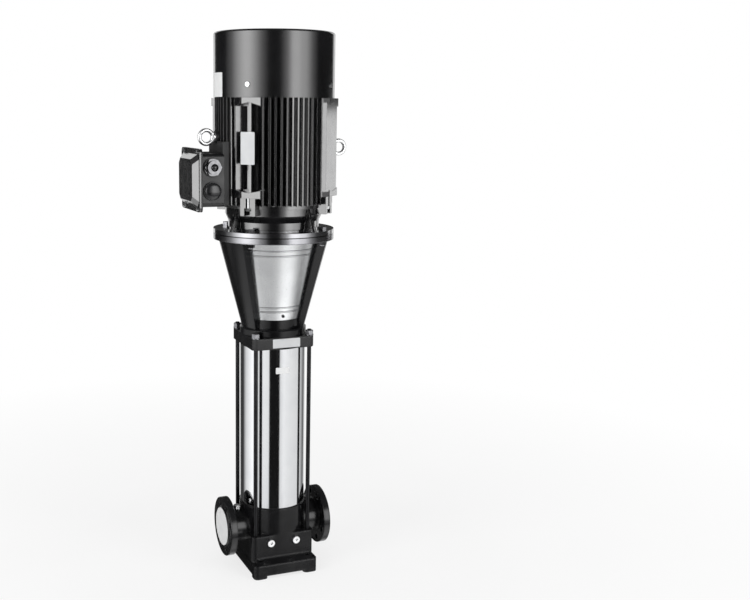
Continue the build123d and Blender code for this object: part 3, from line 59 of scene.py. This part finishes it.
def make_camera():
    """The camera stands in front and to the left, level with the motor, and looks down a little."""
    data = bpy.data.cameras.new("camera")
    data.lens = CAMERA_LENS
    data.sensor_width = CAMERA_SENSOR
    data.shift_x, data.shift_y = CAMERA_SHIFT
    cam = bpy.data.objects.new("camera", data)
    scene.collection.objects.link(cam)
    sin_a, cos_a = math.sin(CAMERA_AZIMUTH), math.cos(CAMERA_AZIMUTH)
    look = Vector((-sin_a * math.cos(CAMERA_PITCH), cos_a * math.cos(CAMERA_PITCH),
                   -math.sin(CAMERA_PITCH)))
    right = Vector((cos_a, sin_a, 0))
    up = right.cross(look)
    turned_right = right * math.cos(CAMERA_ROLL) + up * math.sin(CAMERA_ROLL)
    turned_up = up * math.cos(CAMERA_ROLL) - right * math.sin(CAMERA_ROLL)
    basis = Matrix((turned_right, turned_up, -look)).transposed().to_4x4()
    basis.translation = Vector((CAMERA_DISTANCE * sin_a, -CAMERA_DISTANCE * cos_a, CAMERA_HEIGHT))
    cam.matrix_world = basis
    scene.camera = cam


make_camera()

# ------------------------------------------------------------------ node trees
NOISE_LOW, NOISE_HIGH = 0.3, 0.7  # most values of a noise texture lie between these


class Tree:
    """Short calls for the nodes of one node tree."""

    def __init__(self, tree):
        self.tree = tree

    def link(self, source, target):
        self.tree.links.new(source, target)

    def node(self, kind, **values):
        made = self.tree.nodes.new(kind)
        for key, value in values.items():
            setattr(made, key, value)
        return made

    def remap(self, source, low, high, start=NOISE_LOW, end=NOISE_HIGH):
        """Turns start to end into low to high, held level beyond both ends."""
        made = self.node("ShaderNodeMapRange")
        ends = (("From Min", start), ("From Max", end), ("To Min", low), ("To Max", high))
        for key, value in ends:
            made.inputs[key].default_value = value
        self.link(source, made.inputs["Value"])
        return made.outputs["Result"]

    def combine(self, operation, first, second):
        """A Math node on two sockets, or on a socket and a plain number."""
        made = self.node("ShaderNodeMath", operation=operation)
        self.link(first, made.inputs[0])
        if isinstance(second, bpy.types.NodeSocket):
            self.link(second, made.inputs[1])
        else:
            made.inputs[1].default_value = second
        return made.outputs["Value"]

    def mix_shaders(self, factor, low, high):
        """The low shader where the factor is 0, the high one where it is 1."""
        made = self.node("ShaderNodeMixShader")
        self.link(factor, made.inputs["Fac"])
        self.link(low, made.inputs[1])
        self.link(high, made.inputs[2])
        return made.outputs["Shader"]


class Shader(Tree):
    """A material's node tree, built round its Principled BSDF."""

    def __init__(self, name):
        self.material = bpy.data.materials.new(name)
        self.material.use_nodes = True
        super().__init__(self.material.node_tree)
        self.bsdf = self.tree.nodes["Principled BSDF"]
        self.coords = self.node("ShaderNodeTexCoord").outputs["Object"]

    def set(self, **values):
        """Plain values for the BSDF's sockets, named with _ for a space."""
        for key, value in values.items():
            self.bsdf.inputs[key.replace("_", " ")].default_value = value

    def feed(self, **sources):
        """Links to the BSDF's sockets, named with _ for a space."""
        for key, source in sources.items():
            self.link(source, self.bsdf.inputs[key.replace("_", " ")])

    def stretched(self, scale):
        """Object coordinates scaled per axis."""
        mapping = self.node("ShaderNodeMapping")
        mapping.inputs["Scale"].default_value = scale
        self.link(self.coords, mapping.inputs["Vector"])
        return mapping.outputs["Vector"]

    def noise(self, scale, detail, stretch=(1, 1, 1)):
        made = self.node("ShaderNodeTexNoise")
        made.inputs["Scale"].default_value = scale
        made.inputs["Detail"].default_value = detail
        self.link(self.stretched(stretch), made.inputs["Vector"])
        return made.outputs["Fac"]

    def blend(self, source, low, high, start=NOISE_LOW, end=NOISE_HIGH):
        """The low colour at start, the high colour at end, and a ramp between them."""
        ramp = self.node("ShaderNodeValToRGB")
        ramp.color_ramp.elements[0].position = start
        ramp.color_ramp.elements[1].position = end
        ramp.color_ramp.elements[0].color = (*low, 1)
        ramp.color_ramp.elements[1].color = (*high, 1)
        self.link(source, ramp.inputs["Fac"])
        return ramp.outputs["Color"]

    def mixed(self, factor, source, colour):
        """A colour from the tree that turns into a plain colour as the factor goes to 1."""
        made = self.node("ShaderNodeMixRGB")
        made.inputs["Color2"].default_value = (*colour, 1)
        self.link(factor, made.inputs["Fac"])
        self.link(source, made.inputs["Color1"])
        return made.outputs["Color"]

    def bump(self, source, strength, distance, below=None):
        made = self.node("ShaderNodeBump")
        made.inputs["Strength"].default_value = strength
        made.inputs["Distance"].default_value = distance
        self.link(source, made.inputs["Height"])
        if below is not None:
            self.link(below, made.inputs["Normal"])
        return made.outputs["Normal"]

    def between(self, low, high, fade, axis="Z"):
        """1 where the place along an axis is between low and high, with soft ends."""
        split = self.node("ShaderNodeSeparateXYZ")
        self.link(self.coords, split.inputs["Vector"])
        rise = self.remap(split.outputs[axis], 0, 1, low - fade, low)
        fall = self.remap(split.outputs[axis], 1, 0, high, high + fade)
        return self.combine("MULTIPLY", rise, fall)


# ------------------------------------------------------------------ kinds of finish
JOINT_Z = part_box("motor_stool")[1].z  # where the stool's flange meets the motor's
JOINT_HALF = 0.0012
JOINT_BLACK = (0.002, 0.002, 0.002)
RIM_FADE = 0.0012
RIM_METAL = (0.2, 0.2, 0.21)
RIM_ROUGH = 0.16
STOOL_RIM = (JOINT_Z - 0.0205, JOINT_Z + 0.001)
SHIELD_RIM = (JOINT_Z - 0.001, JOINT_Z + 0.0155)
BOX_PAD_X, BOX_PAD_HALF = -0.146, 0.079  # the frame's pad under the terminal box
BOX_PAD_REACH = -1  # further out than any part of the pump
BOX_PAD_FADE = 0.001
BOX_PAD_ROUGH = 0.6
COAT_SMOOTHER = 0.8  # the clear coat's roughness, as a share of the paint's lowest
BEVEL_SAMPLES = 4


def paint(name, low, high, rough, coat, grain, depth, specular, edge=0.002, rim=None,
          box_pad=False):
    """Sprayed paint over metal: faint clouds, uneven gloss, orange peel and softened edges.

    rim is (bottom, top) of a flange edge that is left bare and burnished, with a dark joint line.
    box_pad makes the paint matt on the pad under the terminal box.
    """
    s = Shader(name)
    colour = s.blend(s.noise(scale=9, detail=4), low, high)
    if rim:
        zone = s.between(*rim, RIM_FADE)
        line = s.between(JOINT_Z - JOINT_HALF, JOINT_Z + JOINT_HALF, JOINT_HALF / 2)
        colour = s.mixed(line, s.mixed(zone, colour, RIM_METAL), JOINT_BLACK)
        gloss = s.remap(zone, rough[0], RIM_ROUGH, 0, 1)
        s.feed(Metallic=zone)
    else:
        gloss = s.remap(s.noise(scale=26, detail=5), *rough)
    if box_pad:
        zone = s.combine("MULTIPLY", s.between(BOX_PAD_REACH, BOX_PAD_X, BOX_PAD_FADE, "X"),
                         s.between(-BOX_PAD_HALF, BOX_PAD_HALF, BOX_PAD_FADE, "Y"))
        gloss = s.combine("MAXIMUM", gloss, s.remap(zone, 0, BOX_PAD_ROUGH, 0, 1))
        s.feed(Coat_Weight=s.remap(zone, coat, 0, 0, 1))
    rounded = s.node("ShaderNodeBevel", samples=BEVEL_SAMPLES)
    rounded.inputs["Radius"].default_value = edge
    peel = s.bump(s.noise(grain, detail=2), strength=0.25, distance=depth,
                  below=rounded.outputs["Normal"])
    s.feed(Base_Color=colour, Roughness=gloss, Normal=peel)
    s.set(Coat_Weight=coat, Coat_Roughness=rough[0] * COAT_SMOOTHER, Specular_IOR_Level=specular)
    return s.material


def metal(name, low, high, rough, grain, depth, stretch=(1, 1, 1), clouds=14):
    """Bare or plated metal. stretch scales the grain's noise along X, Y and Z.

    Less on Z than on X and Y draws the grain out up the pump; more on Z turns it round the shaft.
    """
    s = Shader(name)
    streaks = s.noise(grain, detail=4, stretch=stretch)
    s.feed(Base_Color=s.blend(s.noise(clouds, detail=4), low, high),
           Roughness=s.remap(streaks, *rough),
           Normal=s.bump(streaks, strength=0.2, distance=depth))
    s.set(Metallic=1.0)
    return s.material


def moulded(name, low, high, rough, grain=420, depth=0.00006):
    """Moulded plastic, rubber or carbon, and the bare plates and labels."""
    s = Shader(name)
    s.feed(Base_Color=s.blend(s.noise(scale=30, detail=3), low, high),
           Roughness=s.remap(s.noise(scale=60, detail=3), *rough),
           Normal=s.bump(s.noise(grain, detail=2), strength=0.3, distance=depth))
    return s.material


def laminated(name, low, high, rough, bands=180):
    """Stacked sheet steel: fine bands across the stack."""
    s = Shader(name)
    sheets = s.node("ShaderNodeTexWave", bands_direction="Z")
    sheets.inputs["Scale"].default_value = bands
    s.link(s.stretched((1, 1, 1)), sheets.inputs["Vector"])
    sheet = sheets.outputs["Fac"]
    s.feed(Base_Color=s.blend(sheet, low, high, start=0.2, end=0.8),
           Roughness=s.remap(s.noise(scale=90, detail=2), *rough),
           Normal=s.bump(sheet, strength=0.3, distance=0.0002))
    s.set(Metallic=0.9)
    return s.material


# ------------------------------------------------------------------ materials
BLACKS = (0.003, 0.003, 0.0034), (0.008, 0.008, 0.009)

casting = paint("casting_paint", (0.0045, 0.0045, 0.005), (0.012, 0.012, 0.013),
                rough=(0.16, 0.24), coat=0.15, grain=260, depth=0.0004, specular=0.3, edge=0.008)
stool_paint = paint("stool_paint", *BLACKS, rough=(0.2, 0.3), coat=0.1, grain=300, depth=0.0003,
                    specular=0.22, edge=0.004, rim=STOOL_RIM)
shield_paint = paint("shield_paint", *BLACKS, rough=(0.16, 0.26), coat=1.0, grain=380,
                     depth=0.0002, specular=0.7, rim=SHIELD_RIM)
motor_paint = paint("motor_paint", *BLACKS, rough=(0.14, 0.22), coat=1.0, grain=380,
                    depth=0.0002, specular=0.8)
frame_paint = paint("frame_paint", *BLACKS, rough=(0.14, 0.22), coat=1.0, grain=380,
                    depth=0.0002, specular=0.8, box_pad=True)
box_paint = paint("box_paint", (0.006, 0.006, 0.0065), (0.012, 0.012, 0.013),
                  rough=(0.3, 0.42), coat=0.0, grain=420, depth=0.0003, specular=0.45)
cowl_paint = paint("cowl_paint", *BLACKS, rough=(0.17, 0.23), coat=0.9, grain=520,
                   depth=0.0001, specular=0.5)

polished = metal("sleeve_stainless", (0.74, 0.75, 0.77), (0.8, 0.81, 0.82), rough=(0.05, 0.12),
                 grain=70, depth=0.00005, stretch=(6, 6, 0.12))
satin = metal("guard_stainless", (0.68, 0.69, 0.7), (0.75, 0.76, 0.77), rough=(0.22, 0.28),
              grain=90, depth=0.000006, stretch=(6, 6, 0.5))
dark_steel = metal("dark_steel", (0.02, 0.02, 0.021), (0.036, 0.036, 0.038), rough=(0.28, 0.42),
                   grain=120, depth=0.00006, stretch=(6, 6, 0.3))
zinc = metal("plated_steel", (0.5, 0.51, 0.52), (0.66, 0.67, 0.67), rough=(0.2, 0.34),
             grain=220, depth=0.0001, clouds=160)
dull_zinc = metal("dull_zinc", (0.16, 0.16, 0.17), (0.26, 0.26, 0.27), rough=(0.3, 0.42),
                  grain=220, depth=0.0001, clouds=160)
bright_zinc = metal("bright_zinc", (0.8, 0.81, 0.82), (0.9, 0.9, 0.9), rough=(0.36, 0.46),
                    grain=220, depth=0.00008, clouds=160)
gland_metal = metal("gland_plate", (0.09, 0.09, 0.094), (0.14, 0.14, 0.145), rough=(0.12, 0.22),
                    grain=240, depth=0.00006, clouds=120)
pressed = metal("pressed_stainless", (0.6, 0.61, 0.62), (0.7, 0.71, 0.72), rough=(0.2, 0.32),
                grain=120, depth=0.00008, stretch=(1, 1, 6))
ground = metal("ground_steel", (0.55, 0.55, 0.56), (0.66, 0.66, 0.67), rough=(0.14, 0.24),
               grain=160, depth=0.00003, stretch=(1, 1, 14))
machined_iron = metal("machined_iron", (0.2, 0.2, 0.21), (0.32, 0.32, 0.33), rough=(0.34, 0.5),
                      grain=180, depth=0.0001, stretch=(1, 1, 5))
bronze = metal("bronze", (0.52, 0.36, 0.15), (0.64, 0.47, 0.24), rough=(0.22, 0.34),
               grain=160, depth=0.00005, stretch=(1, 1, 6))
copper = metal("copper_winding", (0.5, 0.19, 0.07), (0.68, 0.3, 0.14), rough=(0.25, 0.4),
               grain=260, depth=0.0006, stretch=(1, 1, 0.4))
laminations = laminated("laminations", (0.1, 0.1, 0.11), (0.26, 0.26, 0.27), rough=(0.35, 0.5))

bare_plate = moulded("bare_plate", (0.64, 0.65, 0.66), (0.69, 0.7, 0.71), (0.34, 0.46),
                     grain=500, depth=0.00003)
label_white = moulded("label_white", (0.87, 0.88, 0.88), (0.92, 0.92, 0.92), (0.3, 0.42),
                      grain=700, depth=0.00002)
fan_plastic = moulded("fan_plastic", (0.012, 0.012, 0.013), (0.022, 0.022, 0.024), (0.42, 0.55))
gloss_plastic = moulded("gloss_plastic", (0.012, 0.012, 0.013), (0.02, 0.02, 0.022), (0.12, 0.2),
                        grain=300, depth=0.00003)
board = moulded("board_plastic", (0.16, 0.04, 0.02), (0.24, 0.07, 0.035), (0.4, 0.55))
rubber = moulded("gasket_rubber", (0.012, 0.012, 0.012), (0.022, 0.021, 0.021), (0.6, 0.8))
carbon = moulded("seal_carbon", (0.02, 0.02, 0.022), (0.04, 0.04, 0.043), (0.2, 0.35))

STAGES = [f"{part}_{i}" for part in ("stage_chamber", "impeller") for i in range(1, 7)]
FINISH = (
    (casting, ["pump_base", "pump_head"]),
    (stool_paint, ["motor_stool"]),
    (shield_paint, ["drive_end_shield"]),
    (frame_paint, ["motor_frame"]),
    (box_paint, ["terminal_box"]),
    (motor_paint, ["rear_shield", "terminal_box_lid"]),
    (cowl_paint, ["fan_cowl"]),
    (polished, ["outer_sleeve"]),
    (satin, ["coupling_guard_front", "coupling_guard_rear"]),
    (dark_steel, ["staybolts", "guard_screws", "stool_screws", "motor_flange_nuts"]),
    (zinc, ["vent_plug", "vent_screw", "shield_bolts", "cowl_screws", "lid_screws",
            "coupling_bolts"]),
    (bright_zinc, ["eyebolts", "pipe_plugs"]),
    (dull_zinc, ["motor_flange_bolts", "staybolt_nuts"]),
    (gland_metal, ["cable_gland"]),
    (pressed, ["suction_interconnector", "discharge_spacer", *STAGES]),
    (ground, ["pump_shaft", "motor_shaft", "bearing_outer_rings", "bearing_inner_rings",
              "seal_unit"]),
    (machined_iron, ["coupling_half_left", "coupling_half_right", "seal_cover"]),
    (bronze, ["bottom_bearing"]),
    (copper, ["stator_windings"]),
    (laminations, ["stator_core", "rotor_core"]),
    (bare_plate, ["nameplate"]),
    (fan_plastic, ["cooling_fan", "blanking_plug"]),
    (board, ["terminal_board"]),
    (rubber, ["sleeve_gaskets"]),
    (carbon, ["seal_seat"]),
)
for material, names in FINISH:
    for name in names:
        slots = nodes[name].data.materials
        slots.clear()
        slots.append(material)

# ------------------------------------------------------------------ scene-only pieces


def add_mesh(name, verts, faces, material, smooth=False):
    """A new piece that rides on the pump's body, with the material it is given."""
    mesh = bpy.data.meshes.new(name)
    mesh.from_pydata(verts, [], faces)
    mesh.update()
    made = bpy.data.objects.new(name, mesh)
    scene.collection.objects.link(made)
    bm = bmesh.new()
    bm.from_mesh(mesh)
    bmesh.ops.recalc_face_normals(bm, faces=bm.faces)
    bm.to_mesh(mesh)
    bm.free()
    for face in mesh.polygons:
        face.use_smooth = smooth
    mesh.materials.append(material)
    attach(made, ROOT)


def circle(radius, steps):
    """Points round a circle, as pairs."""
    turns = [2 * math.pi * k / steps for k in range(steps)]
    return [(radius * math.cos(a), radius * math.sin(a)) for a in turns]


def bridge(steps, rings):
    """Faces between rings of points that follow one another, each ring closed on itself."""
    faces = []
    for start in range(0, (rings - 1) * steps, steps):
        for k in range(steps):
            j = (k + 1) % steps
            faces.append((start + k, start + j, start + steps + j, start + steps + k))
    return faces


def cover_disc(name, side, x_face, centre_z, radius, thickness, material):
    """A round cover on a port's raised face, with a softened rim; side is -1 or 1 along X."""
    steps, easing, rounding = 96, (0.0008, 0.0006), 0.0012
    profile = ((radius - easing[0], 0.0), (radius, easing[1]), (radius, thickness - rounding),
               (radius - rounding, thickness))
    verts = [(x_face + side * lift, y, centre_z + z)
             for r, lift in profile for y, z in circle(r, steps)]
    faces = bridge(steps, len(profile))
    faces.append(tuple(range(steps)))
    faces.append(tuple(range(len(verts) - steps, len(verts))))
    add_mesh(name, verts, faces, material)


def dome(name, node, radius, height, sink, material):
    """A low rounded cap on the front of a round node that points to -Y, sunk into its face."""
    low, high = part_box(node)
    steps, rows = 48, 8
    x, z, y = (low.x + high.x) / 2, (low.z + high.z) / 2, low.y + sink
    verts = []
    for row in range(rows):
        lift = math.pi / 2 * row / rows
        verts += [(x + u, y - height * math.sin(lift), z + v)
                  for u, v in circle(radius * math.cos(lift), steps)]
    top = len(verts) - steps
    verts.append((x, y - height, z))
    faces = [tuple(range(steps)), *bridge(steps, rows)]
    faces += [(top + k, top + (k + 1) % steps, top + steps) for k in range(steps)]
    add_mesh(name, verts, faces, material, smooth=True)


def plate(name, low, high, corner, material):
    """A flat plate with rounded corners that faces -Y, from its low corner to its high corner."""
    (x0, y0, z0), (x1, y1, z1) = low, high
    outline = []
    for cx, cz, start in ((x1 - corner, z1 - corner, 0), (x0 + corner, z1 - corner, 90),
                          (x0 + corner, z0 + corner, 180), (x1 - corner, z0 + corner, 270)):
        for turn in range(start, start + 91, 15):
            a = math.radians(turn)
            outline.append((cx + corner * math.cos(a), cz + corner * math.sin(a)))
    count = len(outline)
    verts = [(x, y, z) for y in (y0, y1) for x, z in outline]
    faces = [tuple(range(count)), tuple(range(count, 2 * count)), *bridge(count, 2)]
    add_mesh(name, verts, faces, material)


def curved_label(name, radius, azimuth, width, bottom, top, material):
    """A thin sheet label that follows a vertical cylinder, with its corners cut a little."""
    steps, corner, gap, thickness = 24, 0.0015, 0.00005, 0.0003
    half = width / 2 / radius
    verts, faces = [], []
    for r in (radius + gap, radius + thickness):
        for k in range(steps + 1):
            a = azimuth - half + 2 * half * k / steps
            inset = corner if k in (0, steps) else 0.0
            for z in (bottom + inset, top - inset):
                verts.append((r * math.sin(a), -r * math.cos(a), z))
    count = 2 * (steps + 1)
    for k in range(steps):
        a, b, c, d = 2 * k, 2 * k + 1, 2 * k + 3, 2 * k + 2
        faces.append((a, b, c, d))
        faces.append((count + d, count + c, count + b, count + a))
        faces.append((a, d, count + d, count + a))
        faces.append((b, count + b, count + c, c))
    faces.append((0, count, count + 1, 1))
    end = 2 * steps
    faces.append((end, end + 1, count + end + 1, count + end))
    add_mesh(name, verts, faces, material)


PORT_Z = 0.147
COVER_RADIUS, COVER_THICKNESS = 0.064, 0.0025
base_low, base_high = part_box("pump_base")
for name, side, face in (("suction_cover", -1, base_low.x), ("discharge_cover", 1, base_high.x)):
    cover_disc(name, side, face, PORT_Z, COVER_RADIUS, COVER_THICKNESS, label_white)

plug_low, plug_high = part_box("blanking_plug")
dome("gland_plug", "cable_gland", radius=0.0095, height=0.006, sink=0.002,
     material=gloss_plastic)
dome("plug_cap", "blanking_plug", radius=(plug_high.x - plug_low.x) / 2 - 0.001, height=0.009,
     sink=0.0, material=gloss_plastic)

STRIP_X = (-0.040, 0.056)
STRIP_DROP = (0.034, 0.004)  # from the head's top down to the strip's bottom and top
STRIP_THICKNESS = 0.0008
head_low, head_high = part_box("pump_head")
plate("head_strip", (STRIP_X[0], head_low.y - STRIP_THICKNESS, head_high.z - STRIP_DROP[0]),
      (STRIP_X[1], head_low.y, head_high.z - STRIP_DROP[1]), corner=0.002,
      material=bare_plate)

cowl_low, cowl_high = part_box("fan_cowl")
curved_label("cowl_label", radius=cowl_high.y, azimuth=math.radians(-87), width=0.072,
             bottom=cowl_low.z + 0.002, top=cowl_low.z + 0.078,
             material=label_white)
sleeve_low, sleeve_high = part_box("outer_sleeve")
curved_label("sleeve_label", radius=sleeve_high.x, azimuth=math.radians(-2.5), width=0.048,
             bottom=sleeve_high.z - 0.082, top=sleeve_high.z - 0.061,
             material=label_white)

# ------------------------------------------------------------------ floor
FLOOR_HALF = 30.0
FLOOR_Z = -0.0005
FLOOR_PAPER = (0.92, 0.92, 0.92), (0.95, 0.95, 0.95)
FLOOR_FADE = (0.7, 2.6)  # distances from the pump between which the floor turns white
FLOOR_WHITE = (0.75, 1.0)  # how white it is for the camera, near the pump and far from it


def make_floor():
    """A pale paper floor: it keeps the pump's shadow, and turns into the white surround."""
    h = FLOOR_HALF
    mesh = bpy.data.meshes.new("floor")
    mesh.from_pydata([(-h, -h, FLOOR_Z), (h, -h, FLOOR_Z), (h, h, FLOOR_Z), (-h, h, FLOOR_Z)], [],
                     [(0, 1, 2, 3)])
    floor = bpy.data.objects.new("floor", mesh)
    scene.collection.objects.link(floor)
    floor.visible_glossy = False
    s = Shader("floor_paper")
    s.feed(Base_Color=s.blend(s.noise(scale=3, detail=2), *FLOOR_PAPER))
    s.set(Roughness=0.8, Specular_IOR_Level=0.1)
    distance = s.node("ShaderNodeVectorMath", operation="LENGTH")
    s.link(s.coords, distance.inputs[0])
    fade = s.remap(distance.outputs["Value"], *FLOOR_WHITE, *FLOOR_FADE)
    seen = s.combine("MULTIPLY", fade, s.node("ShaderNodeLightPath").outputs["Is Camera Ray"])
    white = s.node("ShaderNodeEmission").outputs["Emission"]
    paper = s.mix_shaders(seen, s.bsdf.outputs["BSDF"], white)
    s.link(paper, s.tree.nodes["Material Output"].inputs["Surface"])
    mesh.materials.append(s.material)


make_floor()

# ------------------------------------------------------------------ lamps
FRONT = CAMERA_AZIMUTH  # the lights are placed from the side that the camera faces
AIM = Vector((0, 0, 0.9))  # the middle of the pump


def softbox(name, turn, distance, height, width, tall, power, glossy=False):
    """A tall soft light, turned by so many degrees round the pump from its front."""
    data = bpy.data.lights.new(name, "AREA")
    data.shape = "RECTANGLE"
    data.size, data.size_y = width, tall
    data.energy = power
    light = bpy.data.objects.new(name, data)
    scene.collection.objects.link(light)
    azimuth = FRONT + math.radians(turn)
    light.location = (distance * math.sin(azimuth), -distance * math.cos(azimuth), height)
    light.rotation_euler = (AIM - light.location).to_track_quat("-Z", "Y").to_euler()
    light.visible_camera = False
    light.visible_glossy = glossy


softbox("left_softbox", turn=-52, distance=3.0, height=1.9, width=1.4, tall=2.2, power=34)
softbox("right_softbox", turn=56, distance=3.0, height=1.9, width=1.4, tall=2.2, power=26)
softbox("edge_light", turn=131, distance=3.0, height=1.19, width=0.7, tall=0.75, power=2.8,
        glossy=True)

# ------------------------------------------------------------------ world
# What glossy surfaces see round the pump: tall light boxes and dark cards, each as
# (degrees from the front, level). The levels between two entries change evenly.
BOX = 5.0  # the highest level
UPPER_BANDS = (
    (-180, 0.05), (-170, 0.05), (-166, 1.0), (-152, 1.0), (-148, 0.03), (-104, 0.03), (-86, 0.8),
    (-70, 3.2), (-57, BOX), (-47, BOX), (-35, 3.0), (-24, 1.1), (-10, 0.06), (0, 0.04),
    (12, 0.06), (26, 1.4), (35, 4.5), (46, 4.5), (53, 3.5), (62, 3.2), (76, 0.8), (90, 0.03),
    (146, 0.02), (150, 1.0), (164, 1.0), (168, 0.05), (180, 0.05))
LOWER_BANDS = (
    (-180, 0.9), (-166, 0.8), (-157, 0.05), (-127, 0.05), (-108, 0.8), (-75, 1.3), (-50, 0.8),
    (-48, 0.55), (-46, 0.85), (-30, 1.0), (-13, 0.95), (-10, 0.01), (24, 0.01), (27, 0.85),
    (40, 1.05), (62, 0.95), (111, 0.8), (136, 0.2), (144, 0.08), (150, 0.6), (165, 0.8),
    (180, 0.9))
DARK_BANDS = ((-180, 0.8), (-164, 0.7), (-156, 0.02), (142, 0.02), (156, 0.5), (180, 0.8))
FLOOR_BANDS = (
    (-180, 0.9), (-164, 0.8), (-157, 0.05), (-130, 0.05), (-118, 1.2), (-90, 1.6), (-66, 1.5),
    (-50, 0.75), (-20, 0.7), (0, 0.75), (15, 0.9), (35, 1.5), (60, 1.7), (104, 0.8), (120, 0.4),
    (150, 0.5), (166, 0.9), (180, 0.9))
# The zones below the upper one, from the top down. Each gives way to the one above it
# where the reflected ray's climb (1 is straight up) goes from start to end.
LOWER_ZONES = ((LOWER_BANDS, -0.21, -0.13), (DARK_BANDS, -0.405, -0.385),
               (FLOOR_BANDS, -0.495, -0.47))
CEILING_START, CEILING_END = 0.4, 0.55
CEILING_LEVEL = 0.12
FILL_LEVEL = 0.55  # the even light on matt surfaces
SURROUND_LEVEL = 1.0  # what the camera sees


def add_bands(t, spread, bands):
    """A ring of light levels round the horizon, scaled back up from the ramp's 0 to 1."""
    ramp = t.node("ShaderNodeValToRGB")
    elements = ramp.color_ramp.elements
    while len(elements) < len(bands):
        elements.new(0.5)
    for element, (degrees, level) in zip(elements, bands):
        element.position = (degrees + 180) / 360
        element.color = (level / BOX, level / BOX, level / BOX, 1)
    t.link(spread, ramp.inputs["Fac"])
    light = t.node("ShaderNodeBackground")
    light.inputs["Strength"].default_value = BOX
    t.link(ramp.outputs["Color"], light.inputs["Color"])
    return light.outputs["Background"]


def add_background(t, level):
    """An even white light."""
    made = t.node("ShaderNodeBackground")
    made.inputs["Color"].default_value = (1, 1, 1, 1)
    made.inputs["Strength"].default_value = level
    return made.outputs["Background"]


def make_world():
    """White for the camera, an even soft light, and a ring of light boxes for the gloss."""
    world = bpy.data.worlds.new("studio")
    scene.world = world
    world.use_nodes = True
    t = Tree(world.node_tree)
    t.tree.nodes.remove(t.tree.nodes["Background"])
    turned = t.node("ShaderNodeMapping")
    turned.inputs["Rotation"].default_value = (0, 0, -FRONT)
    t.link(t.node("ShaderNodeTexCoord").outputs["Generated"], turned.inputs["Vector"])
    split = t.node("ShaderNodeSeparateXYZ")
    t.link(turned.outputs["Vector"], split.inputs["Vector"])
    towards = t.combine("MULTIPLY", split.outputs["Y"], -1)
    angle = t.combine("ARCTAN2", split.outputs["X"], towards)
    spread = t.remap(angle, 0, 1, -math.pi, math.pi)
    climb = split.outputs["Z"]
    ring = add_bands(t, spread, UPPER_BANDS)
    for bands, start, end in LOWER_ZONES:
        ring = t.mix_shaders(t.remap(climb, 0, 1, start, end), add_bands(t, spread, bands), ring)
    ring = t.mix_shaders(t.remap(climb, 0, 1, CEILING_START, CEILING_END), ring,
                         add_background(t, CEILING_LEVEL))
    path = t.node("ShaderNodeLightPath")
    lit = t.mix_shaders(path.outputs["Is Glossy Ray"], add_background(t, FILL_LEVEL), ring)
    lit = t.mix_shaders(path.outputs["Is Camera Ray"], lit, add_background(t, SURROUND_LEVEL))
    t.link(lit, t.tree.nodes["World Output"].inputs["Surface"])


make_world()
scene.view_settings.view_transform = "Standard"
